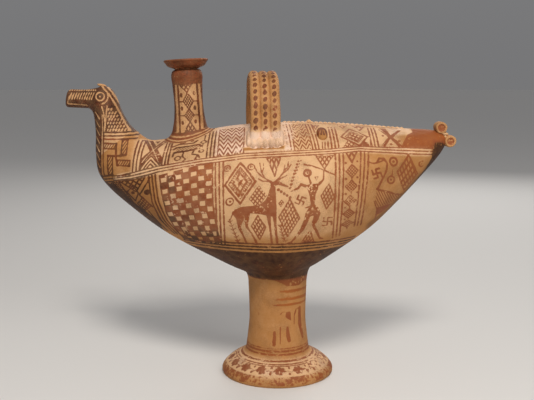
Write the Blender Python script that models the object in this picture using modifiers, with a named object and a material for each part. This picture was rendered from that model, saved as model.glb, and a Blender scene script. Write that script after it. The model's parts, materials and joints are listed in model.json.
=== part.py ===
"""Bird askos: a hollow clay vessel shaped as a long-bodied bird on a pedestal foot.

Metres, +Z up. +X runs from the bill to the tail, and -Y is the side that faces the viewer.
The vessel stands on the flat ring under its foot, and the origin is on the table below the
middle of its length. Positions along X are first measured from the axis of the foot.
"""

import math

import bmesh
import bpy
import numpy as np

# The bird: body, neck and head
BIRD_LENGTH = 0.412  # tail end to bill tip
BIRD_HEIGHT = 0.215  # keel to crown
BODY_WIDTH = 0.170
KEEL_HEIGHT = 0.101  # keel above the table
BODY_WALL = 0.006

# Pedestal: stem and foot
STEM_RADIUS = 0.0313
STEM_TOP_SPREAD = 0.0050
STEM_FOOT_SPREAD = 0.0045
STEM_WALL = 0.009
STEM_FLOOR = 0.010  # clay between the body's keel and the hollow of the stem
FOOT_RADIUS = 0.0618
FOOT_HEIGHT = 0.026
FOOT_EDGE = 0.0045
FOOT_EDGE_TURN = 0.0012  # how far the edge turns in to the table
REST_RING = 0.0075
STEM_BURIED = 0.016  # how far the stem's top reaches up into the belly

# Spout
SPOUT_X = -0.0944
SPOUT_RISE = 0.0795  # ridge to rim
SPOUT_LEAN = math.radians(-3.0)
SPOUT_RIM_RADIUS = 0.0238
SPOUT_LIP = 0.0032
SPOUT_CUP_DEPTH = 0.0100
SPOUT_THROAT_RADIUS = 0.0126
SPOUT_BULB_RADIUS = 0.0168
SPOUT_BULB_HEIGHT = 0.0150
SPOUT_SHAFT_RADIUS = 0.0154
SPOUT_BASE_SPREAD = 0.0190
SPOUT_BURIED = 0.020  # how far the spout's clay reaches down below the ridge
SPOUT_BORE_RADIUS = 0.0085
SPOUT_FUNNEL_WALL = 0.0042

# Handle of three coils laid side by side, arching across the body
HANDLE_X = -0.0167
HANDLE_RISE = 0.0558  # ridge to the top of the coils
HANDLE_HALF_SPAN = 0.0545  # middle of a coil's foot from the bird's middle plane
HANDLE_TURN = math.radians(4.0)
HANDLE_SQUARENESS = 2.5
COIL_RADIUS = 0.0056
COIL_PRESS = 0.0014  # how far neighbouring coils are pressed into each other
COIL_COUNT = 3
COIL_FOOT_SWELL = 1.15
COIL_BURIED = 0.004

# Notched crest on the ridge, behind the handle
CREST_START = 0.004
CREST_END = 0.136
CREST_NOTCHES = 27
CREST_HALF_WIDTH = 0.0026
CREST_TOOTH = 0.0012
CREST_NOTCH = 0.0001
CREST_BURIED = 0.0030

# Small applied pieces of clay
PELLET_X = 0.0335
PELLET_RADIUS = 0.0030
LUG_X = 0.0480
LUG_REACH = 0.0400
LUG_HALF_SIZES = (0.0060, 0.0068, 0.0030)
TUFT_LENGTH = 0.0100
TUFT_RADIUS = 0.0019
TUFT_TILT = math.radians(12)
TAIL_ROLL_RADIUS = 0.0066
TAIL_ROLL_HALF_WIDTH = 0.0085
TAIL_ROLL_GAP = 0.0176  # between the middles of the two rolls
TAIL_ROLL_TILT = math.radians(55)
TAIL_ROLL_LIFT = 0.0063  # above the middle of the tail's end
TAIL_ROLL_SET_BACK = 0.0012

# Smoothness of the faceted surfaces
RINGS_PER_SECTION = 2
RING_POINTS = 28
TURNED_SIDES = 32
ROLL_SIDES = 14
PEBBLE_SIDES, PEBBLE_ROWS = 10, 7
COIL_STEPS = 18
COIL_BEVEL_STEPS = 3

# Slices through the bird from tail to bill, each one where it crosses the back, where it
# crosses the belly or throat, and how wide it is. Lengths along X are in hundredths of the
# bird's length from the foot's axis, heights in hundredths of its height above the keel,
# and half widths in hundredths of the body's width.
TAIL_AND_BODY = (
    (44.2, 76.0, 44.0, 70.3, 3.5),
    (42.6, 77.4, 42.5, 65.6, 7.0),
    (39.2, 78.5, 39.2, 58.0, 12.0),
    (31.9, 79.2, 31.9, 42.7, 22.0),
    (24.4, 80.3, 24.4, 28.8, 33.5),
    (15.9, 81.4, 15.9, 17.2, 42.7),
    (7.9, 82.1, 7.9, 7.7, 48.2),
    (-0.4, 82.1, -0.4, 1.2, 50.0),
    (-9.6, 81.0, -9.6, 6.9, 48.8),
    (-17.4, 78.8, -17.4, 14.0, 45.3),
    (-25.4, 75.2, -25.4, 21.9, 39.4),
    (-31.4, 73.3, -31.4, 28.9, 33.8),
)
NECK = (
    (-33.9, 73.5, -37.5, 37.8, 28.8),
    (-35.5, 75.2, -43.8, 48.1, 23.5),
    (-36.6, 77.0, -47.1, 56.6, 19.7),
    (-38.0, 79.3, -47.8, 67.0, 16.0),
    (-39.3, 82.3, -47.7, 76.3, 13.2),
    (-40.9, 88.0, -48.0, 84.2, 10.7),
)
HEAD = (
    (-41.9, 93.5, -48.4, 87.3, 9.6),
    (-43.2, 98.2, -48.9, 88.4, 9.2),
    (-45.3, 100.2, -49.4, 89.0, 8.6),
    (-47.4, 99.2, -50.5, 89.2, 7.4),
    (-50.2, 98.4, -51.9, 89.3, 6.0),
    (-54.6, 98.6, -55.4, 89.6, 5.0),
)

# Shape of a slice: where it is widest, as a share of its height, and how round each half is.
# A power of 2 is an ellipse, and a lower one draws the half towards a keel.
BODY_WIDEST, HEAD_WIDEST = 0.62, 0.50
BODY_BACK_POWER, HEAD_BACK_POWER = 1.50, 2.0
BODY_BELLY_POWER, HEAD_BELLY_POWER = 1.90, 2.1

# The hollow inside the body runs between these sections of the bird
HOLLOW_TAIL_SECTION = 2
HOLLOW_NECK_SECTION = 16

CLAY_COLOUR = (0.62, 0.36, 0.17, 1.0)
CLAY_ROUGHNESS = 0.72


def clear_scene():
    """Remove every object that the file holds."""
    for obj in list(bpy.data.objects):
        bpy.data.objects.remove(obj, do_unlink=True)


def new_collection(name):
    """A collection under the scene's own."""
    collection = bpy.data.collections.new(name)
    bpy.context.scene.collection.children.link(collection)
    return collection


def clay_material():
    """Warm buff fired clay."""
    material = bpy.data.materials.new("fired_clay")
    material.use_nodes = True
    shader = material.node_tree.nodes["Principled BSDF"]
    shader.inputs["Base Color"].default_value = CLAY_COLOUR
    shader.inputs["Roughness"].default_value = CLAY_ROUGHNESS
    shader.inputs["Metallic"].default_value = 0.0
    return material


def smooth_rows(rows, per_step):
    """Rows of numbers carried through smoothly, with per_step new rows for each old one."""
    rows = np.asarray(rows, float)
    padded = np.vstack([2 * rows[0] - rows[1], rows, 2 * rows[-1] - rows[-2]])
    at = np.arange((len(rows) - 1) * per_step + 1) / per_step
    low = np.minimum(at.astype(int), len(rows) - 2)
    t = (at - low)[:, None]
    before, start, end, after = (padded[low + k] for k in range(4))
    return 0.5 * (
        2 * start
        + (end - before) * t
        + (2 * before - 5 * start + 4 * end - after) * t**2
        + (3 * start - before - 3 * end + after) * t**3
    )


def bird_sections():
    """Back points, belly points and half widths of the bird's slices, in metres."""
    rows = smooth_rows(TAIL_AND_BODY + NECK + HEAD, RINGS_PER_SECTION) / 100
    size = np.array([BIRD_LENGTH, BIRD_HEIGHT])
    base = np.array([0.0, KEEL_HEIGHT])
    return rows[:, 0:2] * size + base, rows[:, 2:4] * size + base, rows[:, 4] * BODY_WIDTH


def section_form(count):
    """For each slice, where it is widest and the powers of its back and its belly."""
    at = np.arange(count) / RINGS_PER_SECTION
    ends = [len(TAIL_AND_BODY) - 1, len(TAIL_AND_BODY) + len(NECK)]
    return (
        np.interp(at, ends, (BODY_WIDEST, HEAD_WIDEST)),
        np.interp(at, ends, (BODY_BACK_POWER, HEAD_BACK_POWER)),
        np.interp(at, ends, (BODY_BELLY_POWER, HEAD_BELLY_POWER)),
    )


def bird_grid():
    """The bird's outer skin as rings of points, from the tail to the bill."""
    back, belly, half = bird_sections()
    widest, back_power, belly_power = section_form(len(half))
    middle = belly + (back - belly) * widest[:, None]
    angle = np.linspace(0, 2 * math.pi, RING_POINTS, endpoint=False)
    up, out = np.sin(angle), np.cos(angle)
    power = np.where(up >= 0, back_power[:, None], belly_power[:, None])
    across = half[:, None] * np.sign(out) * np.abs(out) ** (2 / power)
    arm = np.where((up >= 0)[None, :, None], (back - middle)[:, None], (middle - belly)[:, None])
    flat = middle[:, None] + arm * up[None, :, None]
    return np.stack([flat[..., 0], across, flat[..., 1]], axis=2)


def inset_grid(grid, depth):
    """The rings moved into the clay by a depth, square to the skin."""
    along = np.gradient(grid, axis=0)
    around = np.roll(grid, -1, axis=1) - np.roll(grid, 1, axis=1)
    normal = np.cross(around, along)
    normal /= np.linalg.norm(normal, axis=2, keepdims=True)
    outward = np.sum(normal * (grid - grid.mean(axis=1, keepdims=True)), axis=2, keepdims=True)
    return grid - normal * np.sign(outward.mean()) * depth


def hollow_grid(grid):
    """The rings of the hollow, one for each section, from the tail to the root of the neck."""
    first, last = (n * RINGS_PER_SECTION for n in (HOLLOW_TAIL_SECTION, HOLLOW_NECK_SECTION))
    return inset_grid(grid, BODY_WALL)[first : last + 1 : RINGS_PER_SECTION]


def ridge_height(x):
    """Height of the bird's back above the table, at x from the foot's axis."""
    back = bird_sections()[0][::-1]
    return float(np.interp(x, back[:, 0], back[:, 1]))


def skin_height(x, reach):
    """Height of the body's upper skin at x, at a distance from the middle plane."""
    back, belly, half = (values[::-1] for values in bird_sections())
    top = np.interp(x, back[:, 0], back[:, 1])
    low = np.interp(x, belly[:, 0], belly[:, 1])
    width = np.interp(x, back[:, 0], half)
    middle = low + (top - low) * BODY_WIDEST
    share = min(abs(reach) / width, 1.0)
    return float(middle + (top - middle) * math.sqrt(1 - share**BODY_BACK_POWER))


def mesh_object(name, points, faces, collection):
    """A closed mesh object with its faces turned outward."""
    mesh = bpy.data.meshes.new(name)
    mesh.from_pydata([tuple(point) for point in points], [], faces)
    turn_outward(mesh)
    obj = bpy.data.objects.new(name, mesh)
    collection.objects.link(obj)
    return obj


def turn_outward(mesh):
    """Weld a mesh's doubled points and turn its faces outward."""
    shape = bmesh.new()
    shape.from_mesh(mesh)
    bmesh.ops.remove_doubles(shape, verts=shape.verts, dist=1e-6)
    bmesh.ops.recalc_face_normals(shape, faces=shape.faces)
    shape.to_mesh(mesh)
    shape.free()


def loft(name, grid, collection):
    """A solid through rings of points, closed with a flat face at each end."""
    rings, points = grid.shape[:2]
    faces = [
        (i * points + j, i * points + k, (i + 1) * points + k, (i + 1) * points + j)
        for i in range(rings - 1)
        for j, k in ((j, (j + 1) % points) for j in range(points))
    ]
    faces.append(tuple(range(points)))
    faces.append(tuple((rings - 1) * points + j for j in reversed(range(points))))
    return mesh_object(name, grid.reshape(-1, 3), faces, collection)


def turned(name, profile, collection, sides=TURNED_SIDES):
    """A solid turned about Z from its outer profile of (radius, height), top to bottom."""
    mesh = bpy.data.meshes.new(name)
    edges = [(i, i + 1) for i in range(len(profile) - 1)]
    mesh.from_pydata([(radius, 0.0, height) for radius, height in profile], edges, [])
    obj = bpy.data.objects.new(name, mesh)
    collection.objects.link(obj)
    screw = obj.modifiers.new("turned", "SCREW")
    screw.steps = screw.render_steps = sides
    screw.use_merge_vertices = True
    screw.merge_threshold = 1e-5
    return obj


def coil(name, points, radii, collection):
    """A round coil of clay along points, made a mesh with closed ends."""
    curve = bpy.data.curves.new(name, "CURVE")
    curve.dimensions = "3D"
    curve.bevel_depth = COIL_RADIUS
    curve.bevel_resolution = COIL_BEVEL_STEPS
    curve.use_fill_caps = True
    spline = curve.splines.new("POLY")
    spline.points.add(len(points) - 1)
    for point, place, radius in zip(spline.points, points, radii):
        point.co = (*place, 1.0)
        point.radius = radius
    source = bpy.data.objects.new(name + "_path", curve)
    collection.objects.link(source)
    evaluated = source.evaluated_get(bpy.context.evaluated_depsgraph_get())
    mesh = bpy.data.meshes.new_from_object(evaluated)
    turn_outward(mesh)
    obj = bpy.data.objects.new(name, mesh)
    obj.matrix_world = source.matrix_world
    collection.objects.link(obj)
    bpy.data.objects.remove(source, do_unlink=True)
    return obj


def pebble(name, half_sizes, place, turn, collection):
    """An ellipsoid of clay with its half sizes along X, Y and Z, then turned about those axes."""
    mesh = bpy.data.meshes.new(name)
    shape = bmesh.new()
    bmesh.ops.create_uvsphere(shape, u_segments=PEBBLE_SIDES, v_segments=PEBBLE_ROWS, radius=1.0)
    bmesh.ops.scale(shape, vec=half_sizes, verts=shape.verts)
    shape.to_mesh(mesh)
    shape.free()
    obj = bpy.data.objects.new(name, mesh)
    obj.location = place
    obj.rotation_euler = turn
    collection.objects.link(obj)
    return obj


def stem_and_foot(collection):
    """The turned pedestal, from inside the belly down to the table."""
    top = KEEL_HEIGHT + STEM_BURIED
    shaft = KEEL_HEIGHT - FOOT_HEIGHT
    foot_root = STEM_RADIUS + STEM_FOOT_SPREAD
    slope = FOOT_RADIUS - foot_root
    profile = [
        (0.0, top),
        (STEM_RADIUS + STEM_TOP_SPREAD, top),
        (STEM_RADIUS + 0.55 * STEM_TOP_SPREAD, KEEL_HEIGHT + 0.4 * STEM_BURIED),
        (STEM_RADIUS + 0.20 * STEM_TOP_SPREAD, FOOT_HEIGHT + 0.90 * shaft),
        (STEM_RADIUS, FOOT_HEIGHT + 0.65 * shaft),
        (STEM_RADIUS, FOOT_HEIGHT + 0.45 * shaft),
        (STEM_RADIUS + 0.30 * STEM_FOOT_SPREAD, FOOT_HEIGHT + 0.27 * shaft),
        (STEM_RADIUS + 0.62 * STEM_FOOT_SPREAD, FOOT_HEIGHT + 0.11 * shaft),
        (foot_root, FOOT_HEIGHT),
        (foot_root + 0.22 * slope, FOOT_EDGE + 0.78 * (FOOT_HEIGHT - FOOT_EDGE)),
        (foot_root + 0.55 * slope, FOOT_EDGE + 0.56 * (FOOT_HEIGHT - FOOT_EDGE)),
        (foot_root + 0.82 * slope, FOOT_EDGE + 0.30 * (FOOT_HEIGHT - FOOT_EDGE)),
        (FOOT_RADIUS - 0.7 * FOOT_EDGE_TURN, 1.4 * FOOT_EDGE),
        (FOOT_RADIUS, 0.75 * FOOT_EDGE),
        (FOOT_RADIUS - 0.35 * FOOT_EDGE_TURN, 0.25 * FOOT_EDGE),
        (FOOT_RADIUS - FOOT_EDGE_TURN, 0.0),
        (0.0, 0.0),
    ]
    return turned("stem_and_foot", profile, collection)


def stem_hollow(collection):
    """What is scooped out of the pedestal from below."""
    radius = STEM_RADIUS - STEM_WALL
    top = KEEL_HEIGHT - STEM_FLOOR
    mouth = FOOT_RADIUS - FOOT_EDGE_TURN - REST_RING
    profile = [
        (0.0, top),
        (0.60 * radius, top - 0.03 * KEEL_HEIGHT),
        (radius, top - 0.14 * KEEL_HEIGHT),
        (1.04 * radius, 1.25 * FOOT_HEIGHT),
        (0.72 * radius + 0.28 * mouth, 0.72 * FOOT_HEIGHT),
        (0.30 * radius + 0.70 * mouth, 0.32 * FOOT_HEIGHT),
        (mouth, 0.0),
        (mouth, -FOOT_EDGE),
        (0.0, -FOOT_EDGE),
    ]
    return turned("stem_hollow", profile, collection)


def spout_frame(obj):
    """Stand a piece of the spout on the ridge, leaning as the spout does."""
    obj.location = (SPOUT_X, 0.0, ridge_height(SPOUT_X))
    obj.rotation_euler = (0.0, SPOUT_LEAN, 0.0)
    return obj


def spout(collection):
    """Rim, cup, throat, bulb and shaft of the spout, with its spread on the back."""
    throat = SPOUT_RISE - SPOUT_CUP_DEPTH
    bulb_low = throat - SPOUT_BULB_HEIGHT
    foot = SPOUT_SHAFT_RADIUS + SPOUT_BASE_SPREAD
    profile = [
        (0.0, SPOUT_RISE),
        (SPOUT_RIM_RADIUS - 0.25 * SPOUT_LIP, SPOUT_RISE),
        (SPOUT_RIM_RADIUS, SPOUT_RISE - 0.4 * SPOUT_LIP),
        (SPOUT_RIM_RADIUS - 0.44 * SPOUT_LIP, SPOUT_RISE - SPOUT_LIP),
        (0.60 * SPOUT_RIM_RADIUS + 0.40 * SPOUT_THROAT_RADIUS, throat + 0.30 * SPOUT_CUP_DEPTH),
        (SPOUT_THROAT_RADIUS, throat),
        (0.35 * SPOUT_THROAT_RADIUS + 0.65 * SPOUT_BULB_RADIUS, throat - 0.14 * SPOUT_BULB_HEIGHT),
        (SPOUT_BULB_RADIUS, throat - 0.48 * SPOUT_BULB_HEIGHT),
        (0.55 * SPOUT_BULB_RADIUS + 0.45 * SPOUT_SHAFT_RADIUS, bulb_low),
        (SPOUT_SHAFT_RADIUS, 0.58 * bulb_low),
        (SPOUT_SHAFT_RADIUS + 0.06 * SPOUT_BASE_SPREAD, 0.32 * bulb_low),
        (SPOUT_SHAFT_RADIUS + 0.15 * SPOUT_BASE_SPREAD, 0.15 * bulb_low),
        (SPOUT_SHAFT_RADIUS + 0.36 * SPOUT_BASE_SPREAD, 0.03 * bulb_low),
        (foot - 0.26 * SPOUT_BASE_SPREAD, -0.28 * SPOUT_BURIED),
        (foot, -0.70 * SPOUT_BURIED),
        (foot, -SPOUT_BURIED),
        (0.0, -SPOUT_BURIED),
    ]
    return spout_frame(turned("spout", profile, collection))


def spout_bore(collection):
    """The way in: a funnel in the cup and a bore down into the body."""
    throat = SPOUT_RISE - SPOUT_CUP_DEPTH
    mouth = SPOUT_RIM_RADIUS - SPOUT_FUNNEL_WALL
    profile = [
        (0.0, SPOUT_RISE + SPOUT_LIP),
        (mouth, SPOUT_RISE + SPOUT_LIP),
        (mouth, SPOUT_RISE - 0.3 * SPOUT_LIP),
        (0.45 * mouth + 0.55 * SPOUT_BORE_RADIUS, throat + 0.50 * SPOUT_CUP_DEPTH),
        (SPOUT_BORE_RADIUS, throat),
        (SPOUT_BORE_RADIUS, -SPOUT_BURIED - BODY_WALL),
        (0.0, -SPOUT_BURIED - BODY_WALL),
    ]
    return spout_frame(turned("spout_bore", profile, collection))


def handle_coils(collection):
    """Three coils side by side, each an arch from shoulder to shoulder."""
    foot_height = skin_height(HANDLE_X, HANDLE_HALF_SPAN) - COIL_BURIED
    arch = ridge_height(HANDLE_X) + HANDLE_RISE - COIL_RADIUS - foot_height
    angle = np.linspace(0, math.pi, COIL_STEPS + 1)
    bend = 2 / HANDLE_SQUARENESS
    y = -HANDLE_HALF_SPAN * np.sign(np.cos(angle)) * np.abs(np.cos(angle)) ** bend
    z = foot_height + arch * np.sin(angle) ** bend
    swell = 1 + (COIL_FOOT_SWELL - 1) * np.clip(1 - (z - foot_height) / (0.25 * arch), 0, 1)
    coils = []
    for index in range(COIL_COUNT):
        side = (index - (COIL_COUNT - 1) / 2) * (2 * COIL_RADIUS - COIL_PRESS)
        x = HANDLE_X + side * swell - y * math.tan(HANDLE_TURN)
        path = np.stack([x, y, z], axis=1)
        coils.append(coil(f"handle_coil_{index + 1}", path, swell, collection))
    return coils


def notched_crest(collection):
    """A low ridge of clay along the back, pressed into teeth."""
    x = np.linspace(CREST_START, CREST_END, 2 * CREST_NOTCHES + 1)
    tooth = np.where(np.arange(len(x)) % 2 == 1, CREST_TOOTH, CREST_NOTCH)
    ridge = np.array([ridge_height(place) for place in x])
    half = np.full(len(x), CREST_HALF_WIDTH)
    half[0] = half[-1] = 0.4 * CREST_HALF_WIDTH
    corners = (
        (1.0, -CREST_BURIED * np.ones_like(x)),
        (0.45, tooth),
        (-0.45, tooth),
        (-1.0, -CREST_BURIED * np.ones_like(x)),
    )
    grid = np.stack(
        [np.stack([x, share * half, ridge + rise], axis=1) for share, rise in corners], axis=1
    )
    return loft("notched_crest", grid, collection)


def small_clay_pieces(collection):
    """Pellet on the ridge, a worn lug on each shoulder, and the tuft on the crown."""
    pieces = [
        pebble(
            "ridge_pellet",
            (PELLET_RADIUS,) * 3,
            (PELLET_X, 0.0, ridge_height(PELLET_X)),
            (0.0, 0.0, 0.0),
            collection,
        )
    ]
    reach = LUG_HALF_SIZES[1]
    drop = skin_height(LUG_X, LUG_REACH - reach) - skin_height(LUG_X, LUG_REACH + reach)
    slope = math.atan2(drop, 2 * reach)
    for side, name in ((-1, "front"), (1, "rear")):
        place = (LUG_X, side * LUG_REACH, skin_height(LUG_X, LUG_REACH))
        turn = (-side * slope, 0.0, 0.0)
        pieces.append(pebble(f"lug_{name}", LUG_HALF_SIZES, place, turn, collection))
    crown = max(HEAD, key=lambda section: section[1])
    place = (
        crown[0] / 100 * BIRD_LENGTH - 0.2 * TUFT_LENGTH,
        0.0,
        KEEL_HEIGHT + crown[1] / 100 * BIRD_HEIGHT + 0.4 * TUFT_RADIUS,
    )
    tuft = (TUFT_LENGTH / 2, TUFT_RADIUS, TUFT_RADIUS)
    pieces.append(pebble("crown_tuft", tuft, place, (0.0, TUFT_TILT, 0.0), collection))
    return pieces


def tail_end():
    """X and Z of the middle of the bird's tail end."""
    x, back, _, belly, _ = TAIL_AND_BODY[0]
    return x / 100 * BIRD_LENGTH, KEEL_HEIGHT + (back + belly) / 200 * BIRD_HEIGHT


def tail_roll_places():
    """X and Z of the middles of the two rolls of clay that fork the tail."""
    end_x, end_z = tail_end()
    end_x, end_z = end_x - TAIL_ROLL_SET_BACK, end_z + TAIL_ROLL_LIFT
    reach = 0.5 * TAIL_ROLL_GAP
    lean_x, lean_z = math.cos(TAIL_ROLL_TILT), math.sin(TAIL_ROLL_TILT)
    return (
        (end_x - reach * lean_x, end_z + reach * lean_z),
        (end_x + reach * lean_x, end_z - reach * lean_z),
    )


def tail_rolls(collection):
    """The two short rolls across the tail's end."""
    radius, half = TAIL_ROLL_RADIUS, TAIL_ROLL_HALF_WIDTH
    profile = [
        (0.0, half),
        (0.55 * radius, half),
        (0.90 * radius, 0.84 * half),
        (radius, 0.55 * half),
        (radius, -0.55 * half),
        (0.90 * radius, -0.84 * half),
        (0.55 * radius, -half),
        (0.0, -half),
    ]
    rolls = []
    for name, (x, z) in zip(("upper", "lower"), tail_roll_places()):
        roll = turned(f"tail_roll_{name}", profile, collection, ROLL_SIDES)
        roll.location = (x, 0.0, z)
        roll.rotation_euler = (math.radians(90), 0.0, 0.0)
        rolls.append(roll)
    return rolls


def combine(target, other, operation):
    """Join a shape to the vessel, or cut it away."""
    other.hide_render = True
    other.display_type = "WIRE"
    modifier = target.modifiers.new(f"{operation.lower()}_{other.name}", "BOOLEAN")
    modifier.operation = operation
    modifier.object = other
    modifier.solver = "EXACT"


def middle_of_length():
    """X of the middle between the bill's tip and the tail's furthest roll."""
    bill_x = min(HEAD[-1][0], HEAD[-1][2]) / 100 * BIRD_LENGTH
    tail_x = tail_roll_places()[1][0] + TAIL_ROLL_RADIUS
    return (bill_x + tail_x) / 2


def build():
    """Model the whole vessel as one piece of clay."""
    clear_scene()
    askos = new_collection("bird_askos")
    shapes = new_collection("joined_and_cut_shapes")

    grid = bird_grid()
    vessel = loft("askos", grid, askos)
    vessel.data.materials.append(clay_material())

    joined = [stem_and_foot(shapes), spout(shapes)]
    joined += handle_coils(shapes)
    joined += tail_rolls(shapes)
    joined += [notched_crest(shapes)]
    joined += small_clay_pieces(shapes)
    for shape in joined:
        combine(vessel, shape, "UNION")

    hollow = loft("body_hollow", hollow_grid(grid), shapes)
    cut = [hollow, spout_bore(shapes), stem_hollow(shapes)]
    for shape in cut:
        combine(vessel, shape, "DIFFERENCE")

    stand = bpy.data.objects.new("middle_of_the_vessel", None)
    shapes.objects.link(stand)
    for obj in [vessel, *joined, *cut]:
        obj.parent = stand
    stand.location = (-middle_of_length(), 0.0, 0.0)
    vessel.data.shade_smooth()


build()
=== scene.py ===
"""Painted looks of the bird askos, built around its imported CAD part.

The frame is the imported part's own: metres, +X from the bill to the tail, -Y towards the viewer
and +Z up. Paintings are laid out in millimetres on the surface that they belong to.
"""

from __future__ import annotations

import json
import logging
import math
from dataclasses import dataclass
from enum import Enum
from typing import Callable, Sequence

import bmesh
import bpy
import numpy as np
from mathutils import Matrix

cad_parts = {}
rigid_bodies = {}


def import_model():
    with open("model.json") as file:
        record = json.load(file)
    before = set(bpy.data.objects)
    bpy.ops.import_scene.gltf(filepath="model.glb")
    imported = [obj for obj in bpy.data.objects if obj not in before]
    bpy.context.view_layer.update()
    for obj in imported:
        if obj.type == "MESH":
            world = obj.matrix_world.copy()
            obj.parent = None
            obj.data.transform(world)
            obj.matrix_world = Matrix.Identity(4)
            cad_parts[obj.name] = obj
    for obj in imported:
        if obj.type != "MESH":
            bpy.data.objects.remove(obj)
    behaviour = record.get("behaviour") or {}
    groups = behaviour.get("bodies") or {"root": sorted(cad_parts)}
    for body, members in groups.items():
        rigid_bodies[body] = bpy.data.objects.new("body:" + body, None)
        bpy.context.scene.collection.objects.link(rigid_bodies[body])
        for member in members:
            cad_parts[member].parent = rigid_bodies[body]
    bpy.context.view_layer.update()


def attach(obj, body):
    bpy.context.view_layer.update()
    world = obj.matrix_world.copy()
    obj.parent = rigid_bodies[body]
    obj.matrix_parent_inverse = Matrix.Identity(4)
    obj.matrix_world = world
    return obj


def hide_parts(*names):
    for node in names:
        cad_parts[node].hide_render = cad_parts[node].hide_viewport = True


LOG = logging.getLogger("bird_askos")
MM = 0.001
FAR = 4.0  # depth in mm that is kept where nothing is painted
TINY = 1e-9  # keeps divisions away from zero

Array = np.ndarray
Material = bpy.types.Material
Object = bpy.types.Object
Point = tuple[float, float]
Path = Sequence[Point]
Colour = tuple[float, float, float]

# Slices through the bird from tail to bill: where each crosses the back, where it crosses the belly
# or throat, and how wide it is. Lengths are in hundredths of the bird's length from the foot's axis,
# heights in hundredths of its height above the keel, half widths in hundredths of its width.
SLICES = (
    (44.2, 76.0, 44.0, 70.3, 3.5),
    (42.6, 77.4, 42.5, 65.6, 7.0),
    (39.2, 78.5, 39.2, 58.0, 12.0),
    (31.9, 79.2, 31.9, 42.7, 22.0),
    (24.4, 80.3, 24.4, 28.8, 33.5),
    (15.9, 81.4, 15.9, 17.2, 42.7),
    (7.9, 82.1, 7.9, 7.7, 48.2),
    (-0.4, 82.1, -0.4, 1.2, 50.0),
    (-9.6, 81.0, -9.6, 6.9, 48.8),
    (-17.4, 78.8, -17.4, 14.0, 45.3),
    (-25.4, 75.2, -25.4, 21.9, 39.4),
    (-31.4, 73.3, -31.4, 28.9, 33.8),
    (-33.9, 73.5, -37.5, 37.8, 28.8),
    (-35.5, 75.2, -43.8, 48.1, 23.5),
    (-36.6, 77.0, -47.1, 56.6, 19.7),
    (-38.0, 79.3, -47.8, 67.0, 16.0),
    (-39.3, 82.3, -47.7, 76.3, 13.2),
    (-40.9, 88.0, -48.0, 84.2, 10.7),
    (-41.9, 93.5, -48.4, 87.3, 9.6),
    (-43.2, 98.2, -48.9, 88.4, 9.2),
    (-45.3, 100.2, -49.4, 89.0, 8.6),
    (-47.4, 99.2, -50.5, 89.2, 7.4),
    (-50.2, 98.4, -51.9, 89.3, 6.0),
    (-54.6, 98.6, -55.4, 89.6, 5.0),
)

# The painted double line that runs round the body: X and height in mm
DOUBLE_LINE = (
    (-165, 218.3), (-135, 224.1), (-105, 232.6), (-61, 241.0), (-17, 246.8), (32, 249.3),
    (70, 251.0), (101, 253.0), (132, 251.0), (163, 248.8), (180, 247.4),
)


class Channel(Enum):
    """What a painted surface stores at each of its points."""

    STROKES = "strokes"
    NET = "net"
    CHECKS = "checks"
    ZIGZAG = "zigzag"
    TONE = "tone"
    WEAR = "wear"
    # Slip: how pale the ground is. The bird's paintings also lower it for painted shade and raise it for
    # painted light.
    SLIP = "slip"


TONE, WEAR, SLIP = Channel.TONE, Channel.WEAR, Channel.SLIP
PATTERNS = (Channel.NET, Channel.CHECKS, Channel.ZIGZAG)


class Side(Enum):
    """Which side of the bird a painting is on."""

    FRONT = -1
    BACK = 1


# Shared geometry


def circle(sides: int) -> Array:
    """Angles spread evenly round a circle."""
    return np.linspace(0, 2 * math.pi, sides, endpoint=False)


def tilted(angle: float) -> Array:
    """The matrix that turns points by an angle about Y."""
    cosine, sine = math.cos(angle), math.sin(angle)
    return np.array([[cosine, 0, sine], [0, 1, 0], [-sine, 0, cosine]])


def unit(vectors: Array) -> Array:
    """Vectors at length 1."""
    return vectors / np.linalg.norm(vectors, axis=-1, keepdims=True)


def run_length(steps: Array) -> Array:
    """Length so far along a run, from the lengths of its steps."""
    return np.concatenate([[0], np.cumsum(steps)])


def turned(profile: Array, turn: Array) -> Array:
    """Rings of points, from a profile of radius and height that is turned about Z."""
    radius, height = profile[:, :1], profile[:, 1:]
    return np.stack([radius * np.cos(turn), radius * np.sin(turn), height + 0 * turn], axis=2)


def box(x0: float, y0: float, x1: float, y1: float) -> list[Point]:
    """A rectangle's corners, from two opposite ones."""
    return [(x0, y0), (x1, y0), (x1, y1), (x0, y1)]


def nearest(place: Array, start: Array, end: Array) -> tuple[Array, Array]:
    """Each place's nearest point on a straight line, as a share of the line, and its distance."""
    run = end - start
    share = np.clip((place - start) @ run / max(run @ run, TINY), 0, 1)
    return share, np.linalg.norm(place - start - share[:, None] * run, axis=1)


def catmull_rom(given: Array, at: Array) -> Array:
    """Points on a Catmull-Rom run, which passes given point k at place k.

    Between B and C, with A before and D after them,
    P = (2B + (C - A) t + (2A - 5B + 4C - D) t^2 + (3B - A - 3C + D) t^3) / 2.
    """
    padded = np.vstack([2 * given[0] - given[1], given, 2 * given[-1] - given[-2]])
    low = np.clip(at.astype(int), 0, len(given) - 2)
    t = (at - low)[:, None]
    before, start, end, after = (padded[low + k] for k in range(4))
    return 0.5 * (
        2 * start
        + (end - before) * t
        + (2 * before - 5 * start + 4 * end - after) * t**2
        + (3 * start - before - 3 * end + after) * t**3
    )


def smooth_run(points: Sequence[Sequence[float]], steps: int) -> Array:
    """A Catmull-Rom run through points, with a number of steps between each two."""
    given = np.asarray(points, float)
    return catmull_rom(given, np.arange((len(given) - 1) * steps + 1) / steps)


# Paintings


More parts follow.
